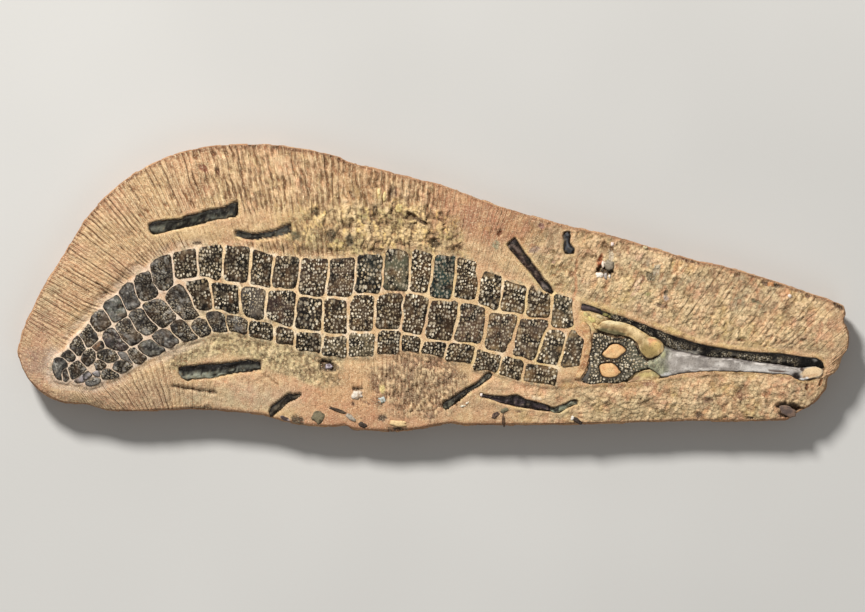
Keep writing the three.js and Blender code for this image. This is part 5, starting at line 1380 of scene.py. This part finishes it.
def build_snout():
    """The long smooth upper snout, with its pale tip."""
    def tint(x, y, side, run):
        spots = mottling(x, y)
        streak = noise(x * 0.12 + 0.3 * noise(x, y, 9, 116), side * 2.6 + x * 0.01, 1, 111, 4)
        scratch = noise(x / 7 + 0.8 * noise(x, y, 6, 120), side * 7 + y * 0.2, 1, 123, 3)
        left = step(674, 656, x + 3 * noise(x, y, 4, 117))
        nicks = spots(0.2, 0.45, 2.6, 119, 2) * step(676, 700, x) * step(-0.55, -0.95, side)
        colour = paint(
            (162, 154, 146),
            ((214, 206, 198), 0.65 * step(0.1, 0.8, streak)),
            ((122, 115, 109), 0.38 * step(0.1, 0.7, -streak)),
            ((234, 228, 220), 0.7 * step(0.25, 0.8, scratch)),
            ((112, 105, 101), 0.5 * step(0.25, 0.8, -scratch)),
            # painted highlight over the front half of the snout from x 728 to 798
            ((224, 220, 214), 0.65 * step(728, 755, x) * step(798, 788, x) * step(-0.8, 0.1, side)),
            ((214, 208, 200), 0.8 * step(1.2, 0.6, in_ellipse(x, y, (689, 368.5, 9, 1, -4)))),
            ((140, 144, 116), 0.85 * left),
            ((66, 64, 52), 0.65 * left * spots(-0.1, 0.4, 2.2, 113, 2)),
            ((196, 192, 156), 0.6 * spots(0.3, 0.7, 3, 118) * left),
            ((88, 80, 80), 0.7 * nicks),
        )
        colour = patched(colour, x, y, SNOUT_MARKS, 0.2 * noise(x, y, 2.6, 114), inner=0.8)
        # painted shade along both edges of the snout
        colour = blend(colour, (44, 38, 36), 0.7 * step(0.8, 1.0, np.abs(side)) * step(801, 798, x))
        return colour, spot_field(x, y, 2.0, 0.35 * step(668, 658, x))

    return sweep("snout_bone", STRIPS["snout"], BONE_Z, crown("snout"), tint, 4.0, 0.45, 115, 44, level=True)


def build_cheek(name, node, marks, seed):
    """One of the smooth bones beside the skull's roof."""
    def tint(x, y, side, run):
        spots = mottling(x, y)
        colour = paint((204, 176, 128), ((232, 208, 158), 0.7 * spots(-0.1, 0.6, 5, seed + 5, 2)),
                       ((146, 116, 76), 0.75 * spots(0.05, 0.6, 4, seed + 6, 3)))
        colour = patched(colour, x, y, marks, 0.25 * noise(x, y, 3, seed + 7))
        # painted shadow along the bone's front edge
        return blend(colour, (42, 34, 26), 0.75 * step(0.82, 1.0, side)), spot_field(x, y, 1.0, 0.0)

    high = BED_Z + 0.88 * (crown(node) - BED_Z)
    return sweep(name, STRIPS[node], BONE_Z, high, tint, 4.5, 0.6, seed, 40, level=True)


def build_neck():
    """The ridge of stone between the last plates and the skull."""
    def tint(x, y, side, run):
        spots = mottling(x, y)
        return paint(
            (192, 150, 106),
            ((224, 188, 138), 0.7 * spots(-0.1, 0.6, 5, 151, 2)),
            ((150, 102, 70), 0.7 * spots(0.1, 0.7, 4, 152, 2)),
            # painted shade along both sides of the ridge
            ((92, 64, 46), 0.8 * step(0.7, 0.95, np.abs(side))),
        ), spot_field(x, y, 1.0, 0.0)

    return sweep("neck_stone", NECK_BAND, BED_Z + 1, NECK_Z, tint, 3.0, 0.7, 150, 24)


# ---------------------------------------------------------------- materials


class Graph:
    """A material's node tree, written as calls."""

    def __init__(self, name):
        self.material = bpy.data.materials.new(name)
        self.material.use_nodes = True
        self.tree = self.material.node_tree
        self.tree.nodes.clear()

    def add(self, kind, inputs=None, **settings):
        node = self.tree.nodes.new("ShaderNode" + kind)
        for key, value in settings.items():
            setattr(node, key, value)
        for key, value in (inputs or {}).items():
            if isinstance(value, bpy.types.NodeSocket):
                self.tree.links.new(value, node.inputs[key])
            else:
                node.inputs[key].default_value = value
        return node

    def value(self, operation, *terms, clamp=False):
        return self.add("Math", dict(enumerate(terms)), operation=operation, use_clamp=clamp).outputs[0]

    def times(self, first, *others):
        for other in others:
            first = self.value("MULTIPLY", first, other)
        return first

    def scaled(self, value, factor, offset, clamp=False):
        return self.value("MULTIPLY_ADD", value, factor, offset, clamp=clamp)

    def ramp(self, value, low, high, to_low=0.0, to_high=1.0):
        """Soft step of a value."""
        inputs = {"Value": value, "From Min": low, "From Max": high, "To Min": to_low, "To Max": to_high}
        return self.add("MapRange", inputs, interpolation_type="SMOOTHSTEP").outputs[0]

    def mix(self, amount, a, b):
        return self.add("Mix", {0: amount, 6: a, 7: b}, data_type="RGBA").outputs[2]

    def paint(self, colour, *layers):
        """Lays colours over a colour: each with its mask and its strength."""
        for tone, mask, strength in layers:
            colour = self.mix(self.times(mask, strength), colour, rgb(*tone))
        return colour

    def raised(self, height, *layers):
        """Adds masks to a height, each with its rise."""
        for mask, rise in layers:
            height = self.scaled(mask, rise, height)
        return height

    def tint(self):
        return self.add("Attribute", attribute_name="tint").outputs["Color"]

    def stored(self, name):
        vector = self.add("Attribute", attribute_name=name).outputs["Vector"]
        return self.add("SeparateXYZ", {0: vector}).outputs

    def plane(self, x, y):
        return self.add("CombineXYZ", {0: x, 1: y, 2: 0.0}).outputs[0]

    def place(self):
        return self.add("TexCoord").outputs["Object"]

    def grain(self, size, detail):
        """Noise with bumps of that many millimetres."""
        inputs = {"Vector": self.place(), "Scale": 1 / (size * MM), "Detail": detail}
        return self.add("TexNoise", inputs).outputs["Fac"]

    def finish(self, colour, roughness, height, depth, specular):
        """Ends in the shader; depth is that of the bump, in millimetres."""
        bump = self.add("Bump", {"Height": height, "Distance": depth * MM, "Strength": 1.0})
        shader = self.add("BsdfPrincipled", {"Base Color": colour, "Roughness": roughness,
                                             "Normal": bump.outputs[0], "Specular IOR Level": specular})
        self.add("OutputMaterial", {"Surface": shader.outputs[0]})
        return self.material


def rgb(*colour):
    return (*srgb(colour), 1.0)


def stone_material():
    """Limestone; the ridge attribute gives its chisel marks, relief how chiselled, lumpy or crumbly it is."""
    g = Graph("worked_limestone")
    phase, along, force = g.stored("ridge")
    chisel, lumpy, wild = g.stored("relief")

    def grooves(count, shift, bend, size, narrow, wide):
        """Narrow lines, count of them to each chisel mark."""
        bent = g.scaled(g.grain(size, 2), bend, g.scaled(phase, count, shift))
        off = g.value("ABSOLUTE", g.value("SUBTRACT", g.value("FRACT", bent), 0.5))
        return g.ramp(off, wide, narrow)

    dashes = g.add("TexNoise", {"Vector": g.plane(phase, along), "Scale": 1.7, "Detail": 2.0}).outputs["Fac"]
    main = g.times(grooves(1.0, 0.375, 0.25, 6, 0.03, 0.17), force)
    main = g.times(main, g.ramp(dashes, 0.3, 0.5, 0.35, 1.0), chisel)
    thin = g.times(grooves(2.3, 0.1, 0.7, 9, 0.05, 0.3), g.ramp(dashes, 0.62, 0.42), chisel)
    glint = g.times(grooves(1.0, 0.58, 0.25, 6, 0.02, 0.13), g.ramp(dashes, 0.4, 0.6), chisel)
    patchy = g.times(g.ramp(g.grain(14, 2), 0.4, 0.62, 0.1, 1.0), chisel)
    soft = g.times(grooves(1.0, 0.275, 0.45, 7, 0.06, 0.42), patchy)
    ridge = g.times(grooves(1.0, 0.7, 0.45, 7, 0.04, 0.3), patchy)
    fine, coarse, speck = g.grain(1.1, 3), g.grain(3.2, 3), g.grain(1.9, 1)
    calm = g.value("SUBTRACT", g.scaled(lumpy, -0.3, 1.0), g.times(wild, 0.35))
    cell = g.add("TexVoronoi", {"Vector": g.place(), "Scale": 1 / (3.6 * MM)})
    crumb = g.times(g.ramp(cell.outputs["Distance"], 0.35, 0.75), g.scaled(wild, 0.4, lumpy))
    # Painted shade in the chisel grooves (soft, main, thin) and at the crumbs' edges (crumb), and painted
    # highlight on the ridges beside them (ridge, glint).
    colour = g.paint(
        g.tint(),
        ((144, 102, 68), soft, 0.34),
        ((246, 214, 168), ridge, 0.4),
        ((92, 62, 42), main, 0.75),
        ((122, 86, 58), thin, 0.3),
        ((252, 226, 184), glint, 0.7),
        ((132, 108, 74), crumb, 0.35),
        ((206, 138, 98), g.ramp(speck, 0.58, 0.74, 0.0, 0.4), calm),
        ((108, 76, 52), g.ramp(fine, 0.53, 0.72, 0.0, 0.65), calm),
        ((248, 226, 186), g.ramp(fine, 0.46, 0.28, 0.0, 0.7), calm),
        ((104, 76, 54), g.ramp(coarse, 0.6, 0.76), 0.6),
    )
    height = g.raised(g.times(fine, 0.5), (main, -1.1), (thin, -0.5), (glint, 0.5), (crumb, -0.7),
                      (coarse, 0.5))
    return g.finish(colour, g.ramp(coarse, 0.3, 0.7, 0.7, 0.95), height, 0.85, 0.2)


def bone_material(name, shine, depth=0.45):
    """Fossil bone; the spots attribute gives pits filled with pale stone."""
    g = Graph(name)
    across, down, strength = g.stored("spots")
    flat, bend = g.plane(across, down), g.grain(1.4, 2)

    def pits(scale, small, big):
        """Round pits of scattered sizes, and a number of each one's own."""
        inputs = {"Vector": flat, "Scale": scale, "Randomness": 0.8}
        cell = g.add("TexVoronoi", inputs, voronoi_dimensions="2D")
        own = g.add("SeparateXYZ", {0: cell.outputs["Color"]}).outputs
        edge = g.value("SUBTRACT", g.scaled(own[0], big - small, small),
                       g.scaled(bend, 0.2, cell.outputs["Distance"]))
        return g.times(g.scaled(edge, 7.0, 0.85, clamp=True), strength, g.scaled(own[2], 0.5, 0.55)), own[1]

    large, own = pits(0.36, 0.23, 0.47)
    small, _ = pits(0.66, 0.0, 0.42)
    fine, coarse = g.grain(0.9, 3), g.grain(3.5, 3)
    colour = g.paint(
        g.tint(),
        ((12, 9, 8), g.ramp(fine, 0.52, 0.74), 0.7),
        ((200, 186, 164), g.ramp(fine, 0.4, 0.2), 0.3),
        ((152, 134, 104), small, 0.8),
    )
    colour = g.mix(large, colour, g.mix(own, rgb(180, 158, 120), rgb(255, 243, 218)))
    height = g.raised(g.times(fine, 0.4), (large, -0.9), (small, -0.4), (coarse, 0.6))
    return g.finish(colour, g.ramp(fine, 0.3, 0.7, shine, shine + 0.25), height, depth, 0.13)


def floor_material():
    g = Graph("pale_floor")
    colour = g.mix(g.grain(400, 2), rgb(190, 189, 186), rgb(210, 209, 206))
    return g.finish(colour, 0.9, g.grain(3, 2), 0.05, 0.2)


# ---------------------------------------------------------------- assembly

stone = stone_material()
armour = bone_material("pitted_armour", 0.6)
dark_bone = bone_material("dark_bone", 0.5)
pale_bone = bone_material("pale_bone", 0.48, 0.3)

slab, ground = build_face()
place(slab, stone, "stone", "stone_slab")
for plate_name, plate in plates.items():
    node = plate_name if plate_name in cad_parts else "tail_armour"
    place(build_plate(plate_name, plate), armour, "armour", node)
place(build_roof(), armour, "armour", "skull_roof")
for k, opening in enumerate(OPENINGS):
    place(build_fill(k, opening), pale_bone, "stone")
for k, fragment in enumerate(FRAGMENTS):
    place(build_fragment(k, ground, *fragment), pale_bone, "stone")
place(build_neck(), stone, "stone")
place(build_jaw(), dark_bone, "dark_bone", "jaw")
place(build_snout(), pale_bone, "grey_bone", "snout")
for name, node, marks, seed in (("upper_cheek_bone", "cheek_bone", UPPER_CHEEK_MARKS, 121),
                                ("hind_cheek_bone", "lower_cheek_bone", HIND_CHEEK_MARKS, 131)):
    place(build_cheek(name, node, marks, seed), pale_bone, "pale_bone", node)
for rod in LOOSE_BONES:
    place(build_rod(rod), dark_bone, "grey_bone" if rod == "thin_bone_lower" else "dark_bone", rod)

# ---------------------------------------------------------------- floor, lights and camera, in metres

FLOOR = 6.0                   # half its side
LAMP_TARGET = Vector((0, 0, 0.02))
CAMERA_DISTANCE = 5.0         # above the slab's face
SENSOR = 36.0                 # width, in millimetres

data = bpy.data.meshes.new("floor")
corners = [(-FLOOR, -FLOOR, 0), (FLOOR, -FLOOR, 0), (FLOOR, FLOOR, 0), (-FLOOR, FLOOR, 0)]
data.from_pydata(corners, [], [(0, 1, 2, 3)])
data.materials.append(floor_material())
floor = linked("floor", data)

for name, position, size, power, colour in (("key", (-2.3, 4.1, 3.5), 1.15, 500, (1.0, 0.98, 0.95)),
                                             ("fill", (1.5, -3.4, 4.1), 3.0, 28, (1.0, 0.99, 0.97))):
    data = bpy.data.lights.new(name, "AREA")
    data.shape, data.size, data.energy, data.color = "DISK", size, power, colour
    light = linked(name, data)
    light.location = position
    light.rotation_euler = (LAMP_TARGET - light.location).to_track_quat("-Z", "Y").to_euler()

scene = bpy.context.scene
scene.world = bpy.data.worlds.new("studio")
scene.world.use_nodes = True
background = scene.world.node_tree.nodes["Background"]
background.inputs["Color"].default_value = (1.0, 0.985, 0.96, 1)
background.inputs["Strength"].default_value = 0.24
scene.view_settings.view_transform = "Standard"

lens = bpy.data.cameras.new("camera")
lens.sensor_width = SENSOR
lens.lens = SENSOR * CAMERA_DISTANCE / (SHEET_SIZE[0] * MM)
lens.clip_end = 20.0
scene.camera = linked("camera", lens)
scene.camera.location = ((SHEET_SIZE[0] / 2 - SHEET[0]) * MM, (SHEET[1] - SHEET_SIZE[1] / 2) * MM,
                         CAMERA_DISTANCE + FACE_Z * MM)
